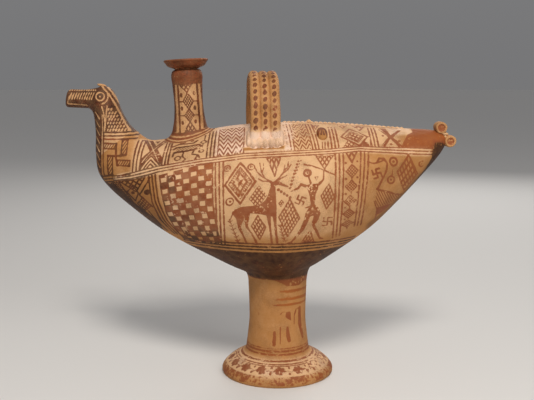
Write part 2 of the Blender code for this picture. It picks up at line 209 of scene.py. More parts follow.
class Painting:
    """Paint values at every point of a piece.

    Strokes hold the depth in mm inside the painted shape. A pattern holds two pattern coordinates
    and the depth inside its field. Tone runs from dark umber to orange-brown, slip from bare tan
    clay to pale cream, and wear from fresh to lost. Below zero, slip darkens the ground towards a
    dark brown; the paintings lower and raise it for painted shade and painted light.
    """

    def __init__(self, count: int, tone: float = 0.5, slip: float = 0.5, wear: float = 0.2) -> None:
        """Unpainted values for a number of points."""
        blank = np.tile((0.0, 0.0, -FAR), (count, 1))
        self.values = {channel: blank.copy() for channel in PATTERNS}
        self.values[Channel.STROKES] = np.full(count, -FAR)
        self.values[TONE] = np.full(count, tone)
        self.values[SLIP] = np.full(count, slip)
        self.values[WEAR] = np.full(count, wear)

    def store(self, mesh: bpy.types.Mesh) -> None:
        """Write every channel to the mesh as an attribute of its points."""
        for channel, value in self.values.items():
            kind, field = ("FLOAT_VECTOR", "vector") if channel in PATTERNS else ("FLOAT", "value")
            attribute = mesh.attributes.new(channel.value, kind, "POINT")
            attribute.data.foreach_set(field, value.astype(np.float32).ravel())


class Canvas:
    """Part of a painting, with its own flat coordinates in mm to draw in."""

    def __init__(self, painting: Painting, x: Array, y: Array, where: Array) -> None:
        """A canvas over the points where a mask holds."""
        self.painting = painting
        self.index = np.flatnonzero(where)
        self.place = np.stack([x.ravel()[self.index], y.ravel()[self.index]], axis=1)

    def near(self, points: Array, reach: float) -> Array:
        """Which of the canvas's points lie in the box around the given ones, and a reach beyond."""
        low, high = points.min(axis=0) - reach, points.max(axis=0) + reach
        return np.flatnonzero(np.all((self.place > low) & (self.place < high), axis=1))

    def lay(self, near: Array, depth: Array, erase: bool) -> None:
        """Add a shape to the strokes, or take it out of them."""
        strokes, at = self.painting.values[Channel.STROKES], self.index[near]
        strokes[at] = np.minimum(strokes[at], -depth) if erase else np.maximum(strokes[at], depth)

    def line(
        self,
        points: Path,
        width: float | Sequence[float] = 1.7,
        closed: bool = False,
        erase: bool = False,
    ) -> None:
        """A brush line.

        Args:
            points: Its corners.
            width: Its width, or its width at each corner.
            closed: Whether it returns to its start.
            erase: Whether it is left free of paint instead.
        """
        corners = np.asarray(list(points) + list(points[:1] if closed else ()), float)
        half = np.broadcast_to(np.asarray(width, float) / 2, len(corners))
        near = self.near(corners, half.max() + FAR)
        place, depth = self.place[near], np.full(len(near), -FAR)
        for start, end, first, last in zip(corners, corners[1:], half, half[1:]):
            share, away = nearest(place, start, end)
            depth = np.maximum(depth, first + (last - first) * share - away)
        self.lay(near, depth, erase)

    def lines(self, runs: Sequence[Path], width: float = 1.7, erase: bool = False) -> None:
        """Several brush lines of one width."""
        for points in runs:
            self.line(points, width, erase=erase)

    def strokes(self, *strokes: tuple[Path, float | Sequence[float]], erase: bool = False) -> None:
        """Several brush lines, each with its own width or widths."""
        for points, width in strokes:
            self.line(points, width, erase=erase)

    def dot(self, x: float, y: float, radius: float, erase: bool = False) -> None:
        """A round dab of paint."""
        self.line([(x, y), (x, y)], 2 * radius, erase=erase)

    def ring(self, x: float, y: float, radius: float, width: float = 1.3, erase: bool = False) -> None:
        """A circle drawn with the brush."""
        self.arc(x, y, radius, 0, 360, width, erase)

    def arc(
        self, x: float, y: float, radius: float, start: float, end: float, width: float, erase: bool
    ) -> None:
        """Part of a circle, between two angles in degrees."""
        turn = np.radians(np.linspace(start, end, 17))
        self.line(list(zip(x + radius * np.cos(turn), y + radius * np.sin(turn))), width, erase=erase)

    def inside(self, corners: Array, place: Array) -> Array:
        """Depth of places inside a polygon, negative outside it."""
        away, odd = np.full(len(place), np.inf), np.zeros(len(place), bool)
        for start, end in zip(corners, np.roll(corners, -1, axis=0)):
            run = end - start
            away = np.minimum(away, nearest(place, start, end)[1])
            crosses = (start[1] > place[:, 1]) != (end[1] > place[:, 1])
            rise = np.where(abs(run[1]) > TINY, run[1], TINY)
            odd ^= crosses & (place[:, 0] < start[0] + run[0] * (place[:, 1] - start[1]) / rise)
        return np.where(odd, away, -away)

    def fill(self, *shapes: Path, erase: bool = False) -> None:
        """Filled polygons."""
        for points in shapes:
            corners = np.asarray(points, float)
            near = self.near(corners, FAR)
            self.lay(near, self.inside(corners, self.place[near]), erase)

    def pattern(self, channel: Channel, points: Path, coordinates: Callable[[Array], Array]) -> None:
        """A field of a pattern.

        Args:
            channel: The pattern.
            points: The field's corners.
            coordinates: Gives the two pattern coordinates at an array of places.
        """
        corners = np.asarray(points, float)
        near = self.near(corners, FAR)
        place, at = self.place[near], self.index[near]
        depth = self.inside(corners, place)
        values = self.painting.values[channel]
        deeper = depth > values[at, 2]
        values[at[deeper]] = np.column_stack([coordinates(place), depth])[deeper]

    def net(self, points: Path, cells: tuple[float, float], border: float = 1.7) -> None:
        """A netted field with an outline.

        Args:
            points: Its corners. The net's lines follow the first corner's two sides.
            cells: Cells along each of those sides.
            border: Width of the outline, 0 for none.
        """
        corners = np.asarray(points, float)
        sides = np.stack([corners[1] - corners[0], corners[-1] - corners[0]], axis=1)
        to_cells = np.linalg.inv(sides) * np.asarray(cells)[:, None]
        self.pattern(Channel.NET, points, lambda place: (place - corners[0]) @ to_cells.T)
        if border:
            self.line(points, border, closed=True)

    def nets(self, *nets: tuple[Path, tuple[float, float], float]) -> None:
        """Several netted fields, each with its own cells and border."""
        for points, cells, border in nets:
            self.net(points, cells, border)

    def hatch(self, points: Path, direction: float, pitch: float) -> None:
        """A field of parallel lines at an angle in degrees, a pitch apart."""
        across = np.array([-math.sin(math.radians(direction)), math.cos(math.radians(direction))])
        self.pattern(
            Channel.NET,
            points,
            lambda place: np.column_stack([place @ across / pitch, np.full(len(place), 0.5)]),
        )

    def zigzag(self, points: Path, direction: float, period: float, pitch: float) -> None:
        """A field of zigzag lines that run at an angle in degrees."""
        turn = math.radians(direction)
        along = np.array([math.cos(turn), math.sin(turn)]) / period
        across = np.array([-math.sin(turn), math.cos(turn)]) / pitch
        self.pattern(
            Channel.ZIGZAG, points, lambda place: np.column_stack([place @ along, place @ across])
        )

    def blend(self, channel: Channel, points: Path, value: float, soft: float) -> None:
        """Bring a channel to a value inside a polygon, with a soft edge in mm."""
        corners = np.asarray(points, float)
        near = self.near(corners, soft)
        share = np.clip(self.inside(corners, self.place[near]) / (2 * soft) + 0.5, 0, 1)
        values, at = self.painting.values[channel], self.index[near]
        values[at] += (value - values[at]) * share * share * (3 - 2 * share)

    def blends(self, channel: Channel, *blends: tuple[Path, float, float]) -> None:
        """Several blends of one channel, each as a polygon, a value and a soft edge."""
        for points, value, soft in blends:
            self.blend(channel, points, value, soft)

    def spread(self, channel: Channel, stops: Path) -> None:
        """Set a channel from stops of (x, value) along the canvas."""
        x, value = zip(*stops)
        self.painting.values[channel][self.index] = np.interp(self.place[:, 0], x, value)


# Geometry


@dataclass(frozen=True)
class Skin:
    """The bird's outer surface, through its slices from the tail (station 0) to the bill."""

    length: float = 0.412
    height: float = 0.215
    width: float = 0.170
    keel: float = 0.101
    foot_x: float = 0.01785
    body_end: int = 11
    head_start: int = 18
    widest: Point = (0.62, 0.50)
    back_power: Point = (1.50, 2.0)
    belly_power: Point = (1.90, 2.1)
    bill_round: float = 0.25
    bill_squeeze: float = 0.22

    def rows(self, station: Array) -> tuple[Array, Array, Array]:
        """Back points, belly points and half widths at stations, by Catmull-Rom between slices."""
        row = catmull_rom(np.asarray(SLICES), station) / 100
        size, base = np.array([self.length, self.height]), np.array([self.foot_x, self.keel])
        back, belly, half = row[:, :2] * size + base, row[:, 2:4] * size + base, row[:, 4] * self.width
        last = len(SLICES) - 1
        tip = np.clip((station - last + self.bill_round) / self.bill_round, 0, 1)
        squeeze = 1 - self.bill_squeeze * (1 - np.sqrt(1 - 0.99 * tip**2))
        middle = (back + belly) / 2
        back, belly = (middle + (end - middle) * squeeze[:, None] for end in (back, belly))
        return back, belly, half * squeeze

    def forms(self, station: Array) -> tuple[Array, Array, Array]:
        """Where each slice is widest, and the powers of its back and its belly."""
        ends = (self.body_end, self.head_start)
        return tuple(
            np.interp(station, ends, pair)
            for pair in (self.widest, self.back_power, self.belly_power)
        )

    def points(self, station: Array, angle: Array) -> Array:
        """Points of the skin.

        A slice has y = half * sign(cos a) * |cos a|^(2 / power), and lies at
        middle + arm * sin a, where arm is the back's or the belly's.

        Args:
            station: One value for each row.
            angle: Angles of each row's points, or the same for all.

        Returns:
            An array of rows, columns and XYZ.
        """
        back, belly, half = self.rows(station)
        widest, back_power, belly_power = self.forms(station)
        middle = belly + (back - belly) * widest[:, None]
        angle = np.broadcast_to(angle, (len(station), np.shape(angle)[-1]))
        up, out = np.sin(angle), np.cos(angle)
        power = np.where(up >= 0, back_power[:, None], belly_power[:, None])
        across = half[:, None] * np.sign(out) * np.abs(out) ** (2 / power)
        arm = np.where((up >= 0)[..., None], (back - middle)[:, None], (middle - belly)[:, None])
        flat = middle[:, None] + arm * up[..., None]
        return np.stack([flat[..., 0], across, flat[..., 1]], axis=2)

    def height_at(self, x: Array, y: Array, upper: bool) -> Array:
        """Height of the body's upper or lower skin above places in plan."""
        station = np.linspace(0, self.body_end, 400)
        back, belly, half = self.rows(station)
        order = np.argsort(back[:, 0])
        top, low, wide = (
            np.interp(x, back[order, 0], column[order])
            for column in (back[:, 1], belly[:, 1], half)
        )
        middle = low + (top - low) * self.widest[0]
        power = self.back_power[0] if upper else self.belly_power[0]
        rise = np.sqrt(1 - np.clip(np.abs(y) / wide, 0, 1) ** power)
        return middle + ((top - middle) if upper else (low - middle)) * rise

    def ridge(self, x: float) -> float:
        """Height of the back's ridge at x."""
        return float(self.height_at(np.array([x]), np.array([0.0]), True)[0])


class Piece:
    """One visible piece: points and faces that are gathered and then made a mesh object."""

    def __init__(self, name: str) -> None:
        """An empty piece."""
        self.name = name
        self.points: list[Array] = []
        self.faces: list[Array | tuple[int, ...]] = []
        self.sharp: list[Array] = []
        self.count = 0

    def grid(self, points: Array) -> Array:
        """Add a grid of points and return their indices."""
        rows, columns = points.shape[:2]
        index = self.count + np.arange(rows * columns).reshape(rows, columns)
        self.points.append(points.reshape(-1, 3))
        self.count += rows * columns
        return index

    def quads(self, index: Array, keep: Array | None = None) -> None:
        """Join a grid of indices, each row closed round, with faces where keep holds."""
        wrapped = np.roll(index, -1, axis=1)
        faces = np.stack([index[:-1], wrapped[:-1], wrapped[1:], index[1:]], axis=2)
        self.faces.append(faces[keep] if keep is not None else faces.reshape(-1, 4))

    def pole(self, ring: Array, point: Sequence[float]) -> None:
        """Close a ring of indices with a fan to one point."""
        centre = int(self.grid(np.asarray(point, float).reshape(1, 1, 3))[0, 0])
        self.faces += [(int(a), int(b), centre) for a, b in zip(ring, np.roll(ring, -1))]

    def polygon(self, ring: Sequence[int]) -> None:
        """Close a ring of indices with one face."""
        self.faces.append(tuple(int(a) for a in ring))

    def tube(self, points: Array) -> None:
        """Add a grid of points as a closed tube, with one face at each end."""
        index = self.grid(points)
        self.quads(index)
        self.polygon(index[0])
        self.polygon(index[-1])

    def finish(self, painting: Painting, material: Material) -> Object:
        """Make the mesh object, turn its faces outward, and put it on the CAD frame.

        Args:
            painting: Values for all of the piece's points.
            material: Its finish.

        Returns:
            The object, at the origin.
        """
        mesh = bpy.data.meshes.new(self.name)
        faces = []
        for group in self.faces:
            faces += group.tolist() if isinstance(group, np.ndarray) else [group]
        mesh.from_pydata(np.vstack(self.points).tolist(), [], faces)
        mesh.polygons.foreach_set("use_smooth", np.ones(len(mesh.polygons), bool))
        if self.sharp:
            ends = np.empty(2 * len(mesh.edges), int)
            mesh.edges.foreach_get("vertices", ends)
            sharp = np.isin(ends, np.concatenate(self.sharp)).reshape(-1, 2).all(axis=1)
            mesh.edges.foreach_set("use_edge_sharp", sharp)
        painting.store(mesh)
        shape = bmesh.new()
        shape.from_mesh(mesh)
        unused = [point for point in shape.verts if not point.link_faces]
        bmesh.ops.delete(shape, geom=unused, context="VERTS")
        bmesh.ops.recalc_face_normals(shape, faces=shape.faces)
        shape.to_mesh(mesh)
        shape.free()
        mesh.materials.append(material)
        obj = bpy.data.objects.new(self.name, mesh)
        bpy.context.scene.collection.objects.link(obj)
        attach(obj, "root")
        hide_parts("askos")
        triangles = sum(len(polygon.vertices) - 2 for polygon in mesh.polygons)
        LOG.info("%s: %d points, %d triangles", self.name, len(mesh.vertices), triangles)
        return obj


SUNK, SPREAD = 0.0015, 0.001  # how far a skirt's last ring lies in the clay, and further out


def skirt(
    skin: Skin, ring: Array, lead: Array, centre: Point, reach: float, upper: bool, steps: int
) -> Array:
    """Rings that carry a ring of points smoothly over to the bird's skin and a little below it.

    Each point follows P = (1-t)^2 A + 2t(1-t) C + t^2 B, where A is on the ring, C is where its lead
    meets the skin, and B is on the skin a reach further out.

    Args:
        skin: The bird's skin.
        ring: The points to start from, as points and XYZ.
        lead: The direction in which each point leaves the ring.
        centre: X and Y that the skirt spreads away from.
        reach: How far it spreads beyond the ring's own outline.
        upper: Whether it meets the back, and not the belly.
        steps: Number of rings.

    Returns:
        An array of steps + 1 rings, the first one just after the given ring.
    """
    lead, meet = unit(lead), ring
    for _ in range(8):
        fall = (skin.height_at(meet[:, 0], meet[:, 1], upper) - ring[:, 2]) / lead[:, 2]
        meet = ring + lead * fall[:, None]
    out = unit(meet[:, :2] - np.asarray(centre))
    flat = meet[:, :2] + out * reach
    end = np.column_stack([flat, skin.height_at(flat[:, 0], flat[:, 1], upper)])
    t = (np.arange(1, steps + 1) / steps)[:, None, None]
    rings = (1 - t) ** 2 * ring + 2 * t * (1 - t) * meet + t**2 * end
    sink = -SUNK if upper else SUNK
    below = end + np.column_stack([out * SPREAD, np.full(len(out), sink)])
    return np.concatenate([rings, below[None]])


@dataclass(frozen=True)
class BirdPart:
    """A stretch of the bird's hollow skin, which meets the next stretch in a flat joint.

    Each span of rows is (first station, last station, rows), and each span of columns is (first
    place, last place, columns). Places are 0 at the keel, 1 at the lower bands, 2 at the double
    line and 3 at the ridge. Up the neck, where the double line has ended, place 2 moves between
    two shares of the half girth, and nowhere is it closer to the keel than the least share.
    """

    name: str
    skin: Skin
    spans: tuple[tuple[float, float, int], ...]
    front: tuple[tuple[float, float, int], ...]
    back: tuple[tuple[float, float, int], ...]
    joints: tuple[bool, bool]
    hole_x: float | None = None
    hole_half: Point = (0.0135, 0.0155)
    band_height: float = 0.146
    wall: float = 0.006
    hollow: Point = (2.0, 15.5)
    coarse: int = 4
    neck: Point = (13.0, 18.0)
    neck_share: Point = (0.31, 0.60)
    least_share: float = 0.35
    band_share: Point = (0.08, 0.6)
    samples: int = 601

    def runs(self, spans: Sequence[tuple[float, float, int]]) -> Array:
        """Evenly spread values through spans, without the last span's end."""
        return np.concatenate([np.linspace(*span, endpoint=False) for span in spans])

    def lay_out(self) -> tuple[Array, Array, Array, Array]:
        """Lay the grid on the skin by girth.

        Returns:
            The points, each point's girth above the double line in mm, its side (-1 at the front)
            and the stations.
        """
        station = np.append(self.runs(self.spans), self.spans[-1][1])
        dense = np.linspace(1.5 * math.pi, 0.5 * math.pi, self.samples)
        half = self.skin.points(station, dense)
        steps = np.linalg.norm(np.diff(half, axis=1), axis=2)
        girth = np.concatenate([np.zeros((len(station), 1)), np.cumsum(steps, axis=1)], axis=1)
        line_x, line_z = (np.array(column) * MM for column in zip(*DOUBLE_LINE))
        above = half[..., 2] - np.interp(half[..., 0], line_x, line_z)
        first = np.maximum((above > 0).argmax(axis=1), 1)
        row, total = np.arange(len(station)), girth[:, -1]
        low, high = above[row, first - 1], above[row, first]
        share = np.clip(low / np.minimum(low - high, -TINY), 0, 1)
        line = girth[row, first - 1] + steps[row, first - 1] * share
        up_neck = total * np.interp(station, self.neck, self.neck_share)
        line = np.where(station > self.neck[0], up_neck, line)
        front, back = self.runs(self.front), self.runs(self.back)
        band = girth[row, (half[..., 2] > self.band_height).argmax(axis=1)]
        split = np.maximum(line, self.least_share * total)
        band = np.clip(band, *(share * split for share in self.band_share))
        marks = np.stack([0 * split, band, split, total], axis=1)
        places = np.concatenate([front, back])
        wanted = np.array([np.interp(places, np.arange(4), mark) for mark in marks])
        angle = np.array([np.interp(w, g, dense) for w, g in zip(wanted, girth)])
        angle[:, len(front) :] = math.pi - angle[:, len(front) :]
        side = np.concatenate([np.full(len(front), -1), np.full(len(back), 1)])
        points = self.skin.points(station, angle)
        return points, (wanted - line[:, None]) / MM, np.tile(side, (len(station), 1)), station

    def inner_wall(self, points: Array) -> Array:
        """The grid's points moved into the clay by the wall's thickness, square to the skin."""
        along = np.gradient(points, axis=0)
        around = np.roll(points, -1, axis=1) - np.roll(points, 1, axis=1)
        normal = unit(np.cross(around, along))
        outward = np.sum(normal * (points - points.mean(axis=1, keepdims=True)), axis=2)
        return points - normal * np.sign(outward.mean()) * self.wall

    def build(self, material: Material) -> Object:
        """Model and paint the stretch."""
        points, girth, side, station = self.lay_out()
        piece, step = Piece(self.name), self.coarse
        outer = piece.grid(points)
        rows = np.arange((len(station) - 1) % step if self.joints[1] else 0, len(station), step)
        rows = rows[(station[rows] >= self.hollow[0]) & (station[rows] <= self.hollow[1])]
        columns = np.arange(0, points.shape[1], step)
        inner = piece.grid(self.inner_wall(points)[np.ix_(rows, columns)])
        whole = np.ones((len(station) - 1, points.shape[1]), bool)
        coarse = np.ones((len(rows) - 1, len(columns)), bool)
        if self.hole_x is not None:
            row_ends, column_ends = self.hole(points, rows, columns)
            coarse[slice(*row_ends), slice(*column_ends)] = False
            whole[slice(*rows[row_ends]), slice(*columns[column_ends])] = False
            for row in row_ends:
                self.bridge(piece, outer[rows[row]], inner[row], range(*column_ends))
            for column in column_ends:
                for row in range(*row_ends):
                    edge = outer[rows[row] : rows[row + 1] + 1, columns[column]]
                    piece.polygon([*edge, inner[row + 1, column], inner[row, column]])
        piece.quads(outer, whole)
        piece.quads(inner, coarse)
        for joint, end in zip(self.joints, (0, -1)):
            if joint:
                self.bridge(piece, outer[end], inner[end], range(len(columns)))
                piece.sharp.append(outer[end])
            else:
                piece.polygon(outer[end])
                piece.polygon(inner[end])
        painting = Painting(piece.count)
        BirdPainting(painting, points, girth, side, station).paint()
        return piece.finish(painting, material)

    def hole(self, points: Array, rows: Array, columns: Array) -> tuple[Array, Array]:
        """First and last coarse row and column of the hole below the spout."""
        ridge = int(points[0, :, 2].argmax())
        near = np.flatnonzero(np.abs(points[rows, ridge, 0] - self.hole_x) < self.hole_half[0])
        middle = points[rows[near[len(near) // 2]], columns]
        upper = middle[:, 2] > points[rows[near[0]], :, 2].max() - 0.02
        beside = np.flatnonzero((np.abs(middle[:, 1]) < self.hole_half[1]) & upper)
        return near[[0, -1]], beside[[0, -1]]

    def bridge(self, piece: Piece, outer: Array, inner: Array, columns: range) -> None:
        """Join a fine outer ring to a coarse inner one."""
        outer, inner, step = np.append(outer, outer[0]), np.append(inner, inner[0]), self.coarse
        for column in columns:
            edge = outer[column * step : column * step + step + 1]
            piece.polygon([*edge, inner[column + 1], inner[column]])


class BirdCanvas(Canvas):
    """A canvas on the bird's skin, and the fields and figures that are painted there.

    Its coordinates are X and the girth above the double line for what is on one side of the body,
    and X and height for the belly and the neck.
    """

    def tints(self) -> None:
        """How dark the paint and how pale the slip is, from bill to tail, with painted shade low on the
        body and painted light on parts of the upper zone.
        """
        self.spread(TONE,
                    [(-210, 0.12), (-130, 0.15), (-106, 0.2), (-88, 0.42), (-70, 0.52), (-30, 0.56),
                     (75, 0.62), (105, 0.46), (140, 0.52), (165, 0.7), (200, 0.74)])
        self.spread(SLIP,
                    [(-210, 0.12), (-130, 0.16), (-90, 0.46), (-60, 0.62), (30, 0.66), (80, 0.42),
                     (110, 0.2), (200, 0.06)])
        self.blends(
            SLIP, (box(-50, 2, 34, 90), 1.0, 7),
            # Painted shade: the next two blends darken the ground along the lower edge and at the lower
            # left, which face away from the light.
            ([(-170, -28), (-120, -58), (-92, -76), (-45, -92), (75, -96), (110, -88), (150, -58),
              (180, -20), (185, -140), (-170, -140)], 0.08, 11),
            ([(-134, -30), (-112, -36), (-96, -66), (-78, -98), (-40, -112), (-40, -140), (-140, -140)],
             -0.4, 7), (box(-36, -5, 74, -50), 0.72, 14),
            ([(-104, -5), (-48, -5), (-48, -70), (-92, -70)], 0.8, 5),
            ([(-170, -4), (-112, -6), (-95, -90), (-170, -90)], -0.35, 8),
            # Partly painted light: the next two blends pale the ground on upper panels that face up to the
            # light, over the slip's own paleness.
            ([(50, 4), (146, 4), (140, 42), (60, 60)], 0.76, 7),
            ([(-134, 3), (-96, 3), (-92, 60), (-132, 60)], 0.74, 5)
        )
        self.blends(WEAR, (box(-15, 6, 28, 70), 0.8, 3),
                    ([(28, 20), (110, 24), (110, 70), (28, 70)], 0.32, 8))
        # Painted shade: the first tone blend darkens the paint at the lower left.
        self.blends(TONE, ([(-110, -72), (-40, -80), (-40, -140), (-110, -140)], 0.2, 10),
                    ([(-50, 3), (-10, 3), (-10, 70), (-130, 70), (-130, 3)], 0.24, 6),
                    (box(-46, 3, -14, 70), 0.42, 3))

    def frame_lines(self) -> None:
        """The double line and the groups of lines that divide the panels."""
        self.fill(box(-157, 3.4, 181, -3.4), erase=True)
        self.blend(SLIP, box(-156, 5, 181, -5), 0.8, 2)
        for height, width in ((3.3, 1.6), (0.0, 1.5), (-3.3, 1.6)):
            self.line([(-157, height), (-60, height), (60, height), (182, height)], width)
        groups = (
            ((-133, 4), (-130, 56), 3, 3.9), ((-101.8, 4), (-99, 52), 3, 3.3),
            ((-55.2, 4), (-54, 58), 3, 3.7), ((72.3, 4), (71, 47), 3, 3.6),
            ((114, 4), (113.5, 43), 3, 3.7), ((-45.6, -4), (-44.2, -98), 3, 4.0),
            ((75.2, -4), (74.0, -100), 3, 4.1), ((101.8, -4), (97, -90), 3, 4.1),
        )
        for low, high, count, pitch in groups:
            for number in range(count):
                shift = number * pitch
                self.line([(low[0] + shift, low[1]), (high[0] + 0.9 * shift, high[1])], 1.8)
        for shift in (0, 3.6, 7.0):
            self.line([(-115 + shift, -5), (-112.5 + shift, -34), (-105 + shift, -60), (-92 + shift, -86)],
                      1.9)
        self.line([(24, 68.6), (50, 67.4), (86, 59.6), (116, 49.6), (147, 40.6)], 1.8)

    def upper_zone(self, side: Side) -> None:
        """Small panels between the double line and the ridge."""
        self.fill([(-126, 58), (-116.5, 58), (-109, 33), (-101.4, 12), (-103, 4), (-108, 5), (-116, 27)],
                  [(-104, 55), (-99.5, 50), (-109, 31), (-122, 6), (-125.6, 6), (-125, 16), (-113, 34)])
        self.lines([[(-121, 56), (-113, 31), (-105.4, 8)], [(-101.6, 52), (-112, 32), (-123, 12)]], 1.0,
                   True)
        self.fill([(-126, 3), (-113.8, 23), (-103.4, 3)], erase=True)
        for left, apex, right in ((-125, 20, -103.6), (-121, 14, -107), (-117.4, 8.6, -110.4)):
            self.line([(left, 4), (-113.8, apex), (right, 4)], 1.7)
        self.fill([(-114.5, 57), (-106, 55), (-110.2, 41)], erase=True)
        self.fill([(-113.5, 55), (-107.5, 54), (-110.4, 45.5)])
        if side is Side.FRONT:
            self.small_beast()
        else:
            self.net([(-91, 22), (-74.5, 40), (-58, 22), (-74.5, 5)], (4, 4))
            for x, y in ((-88, 38), (-61, 38), (-88, 8), (-61, 8)):
                self.ring(x, y, 2.6)
        self.zigzag(box(-44, 4, -18.5, 60), 2, 8.3, 8.4)
        self.lines([[(-43.8, 4), (-43.8, 60)], [(-17.5, 4), (-17.5, 58)]], 1.2)
        self.lines([[(23 + k, 60), (27.5 + k, 5)] for k in (0, 3.4, 6.8)], 1.2)
        self.zigzag([(32, 60), (45, 60), (51.5, 5), (35, 5)], 6, 7.2, 7.6)
        self.lines([[(46.6 + k, 60), (52.6 + k, 5)] for k in (0, 3.2, 6.4)], 1.6)
        self.nets(
            ([(57.2, 42), (54.2, 56), (61, 55)], (2, 2), 1.2),
            ([(89.6, 22), (94.4, 30), (104, 20.6), (99.4, 12.4)], (2, 3), 1.2),
            ([(86.5, 42), (81.5, 53), (92, 52)], (2, 2), 1.2),
            ([(104, 33), (97, 50), (111, 47)], (2, 2), 1.2), ([(90, 15), (84, 4), (98, 4)], (3, 3), 1.2)
        )
        self.lines([[(62.8, 15), (62.6, 5)], [(65.6, 15), (65.2, 5)], [(68.8, 17), (68.4, 5)]], 1.4)
        self.line([(83, 22), (93, 39), (111, 20), (101.5, 4)], 2.2, closed=True)
        self.line([(87.4, 22), (94, 33), (106.4, 20.4), (100.4, 9.6)], 1.2, closed=True)
        self.fill([(106, 12), (104, 4), (112, 4), (111, 9)],
                  [(126, 41), (134, 20), (126, 4), (129, 4), (137, 19), (133, 40)],
                  [(134, 19.5), (146, 33), (150, 33), (139, 18), (149, 3.5), (143, 3.5)])
        self.lines([[(125, 37), (134, 19), (125, 5)], [(134, 19), (144, 4)]], 1.3)
        # Painted shadow: a strip of darkened ground just below the handle pad's lower edge.
        self.blend(SLIP, [(-18, 11.6), (-17, 7.8), (23, 7.8), (24, 11.6)], -0.35, 1.5)
        for x, y in ((128, 22), (135.5, 7.5), (145, 12)):
            self.dot(x, y, 1.5)

    def small_beast(self) -> None:
        """A striding beast with a striped body, and rings."""
        self.strokes(([(-91, 17), (-88.5, 20), (-76, 19.6), (-62.5, 21)], [1.6, 3.4, 3.4, 2.8]),
                     ([(-91, 26), (-88, 29), (-77, 28.6), (-64, 28.2), (-61.6, 24)], 2.9),
                     ([(-92, 32.5), (-86, 36), (-80, 34.6), (-70, 33.4), (-66.5, 38)], 2.7))
        self.hatch([(-88, 21), (-88, 27.6), (-63, 27.2), (-63, 21.8)], 35, 2.6)
        self.lines(
            [[(-90, 20), (-91, 13.5)], [(-79.6, 19), (-80.6, 11.5), (-77, 7), (-80, 4)],
             [(-68.6, 20), (-70.5, 12.6), (-64.4, 10.4), (-66.6, 5)], [(-64.4, 10.4), (-62.4, 5.6)]], 1.9
        )
        self.fill([(-86, 37), (-82.2, 45), (-77.5, 36)])
        self.dot(-72, 39.4, 2.1)
        for x, y, radius in ((-85.3, 9.8, 3.0), (-59.6, 32, 2.8), (-61, 15.6, 2.4)):
            self.ring(x, y, radius, 1.6)
        self.lines([[(-59.8, 28.4), (-60.8, 18.6)], [(-58.8, 36), (-58.6, 48)]], 1.4)

    def checkers(self) -> None:
        """The chequered panel, seven cells wide between its curved edges."""
        across, rows, growth, top = 7, 31.4, 0.00569, -4.4
        left = ((-7, -103.5), (-28, -101), (-50, -97.5), (-80, -87.5), (-99, -80))
        right = ((-3, -48.2), (-46, -48), (-75, -45), (-99, -40))
        left_v, left_x = (np.array(column) for column in zip(*reversed(left)))
        right_v, right_x = (np.array(column) for column in zip(*reversed(right)))

        def cells(place: Array) -> Array:
            """Cell coordinates: seven across, and rows that grow taller downwards."""
            start = np.interp(place[:, 1], left_v, left_x)
            end = np.interp(place[:, 1], right_v, right_x)
            row = rows * np.log1p(growth * np.maximum(top - place[:, 1], -5))
            return np.column_stack([across * (place[:, 0] - start) / (end - start), row + 2 * across])

        edge = [(x, v) for v, x in left] + [(x, v) for v, x in reversed(right)]
        self.pattern(Channel.CHECKS, edge, cells)
        self.strokes(([(x, v) for v, x in left], 1.5), ([(x, v) for v, x in right], 1.5))

    def breast(self) -> None:
        """Nets, lozenge and dots on the breast, and its dark lower edge, partly paint and partly painted
        shade.
        """
        self.nets(([(-130, -20), (-150, -5), (-119, -5)], (5, 4), 1.5),
                  ([(-123, -27), (-130, -37), (-123, -47), (-113.5, -38)], (4, 4), 1.5),
                  ([(-166, -4), (-150, -5), (-135, -36), (-127, -54), (-140, -44)], (5, 12), 1.5))
        self.line([(-141, -21), (-133.6, -12.4), (-127.4, -21.4), (-132, -33)], 1.8, closed=True)
        self.dot(-133.8, -21.4, 2.4)
        self.dot(-117.5, -21.6, 3.3)
        self.lines([[(-113.6, -7), (-126.5, -24), (-112.4, -40)], [(-118, -46), (-100, -82)]], 1.8)
        # Dark paint along the breast's lower edge and below it: partly the painted band, partly painted
        # shade where the breast turns under.
        self.fill([(-190, 2), (-166, 2), (-157, -8), (-146, -20), (-136, -35), (-122, -47), (-112, -58),
                   (-106, -70), (-102, -130), (-190, -130)])
        # Painted shade: the ground darkens along the breast's edge.
        self.blend(SLIP, [(-172, 0), (-142, -2), (-126, -40), (-172, -60)], -0.6, 5)
        self.blend(
            TONE, [(-190, 4), (-160, 0), (-138, -32), (-122, -44), (-100, -62), (-96, -130), (-190, -130)],
            0.0, 5
        )

    def tail_zone(self, side: Side) -> None:
        """Lozenge chain, long-necked bird and the solid brown tail, with a dark end and lower edge that are
        partly paint and partly painted shade.
        """
        chain = [(-25, 6.8), (-40.5, 6.2), (-56, 6.2), (-70.5, 5.6), (-83.5, 5)]
        self.net([(92, -16), (86, -4), (98, -4)], (2, 2), 1.3)
        for middle, half in chain:
            x = 92 + 0.05 * (middle + 25)
            self.net([(x - 6.2, middle), (x, middle + half), (x + 6.2, middle), (x, middle - half)], (4, 4),
                     1.5)
            self.line([(x, middle - half), (x, middle - half - 2.4)], 1.2)
        for v in (-16, -32.5, -48, -63, -77):
            self.dot(85.6, v, 1.2)
            self.dot(97.6, v + 0.6, 1.2)
        self.fill([(146, 3.2), (151, 14), (156, 23), (161.5, 27), (161, 60), (215, 60), (215, 3.2)],
                  # The next two shapes paint the tail's end and the strip along its lower edge dark: partly
                  # paint, partly painted shade where the tail turns away from the light.
                  [(183.5, 8), (215, 8), (215, -60), (178, -60)],
                  [(184, 5), (182, -8), (176, -22), (164, -42), (151, -60), (140, -74), (130, -92),
                   (130, -110), (215, -110), (215, 5)])
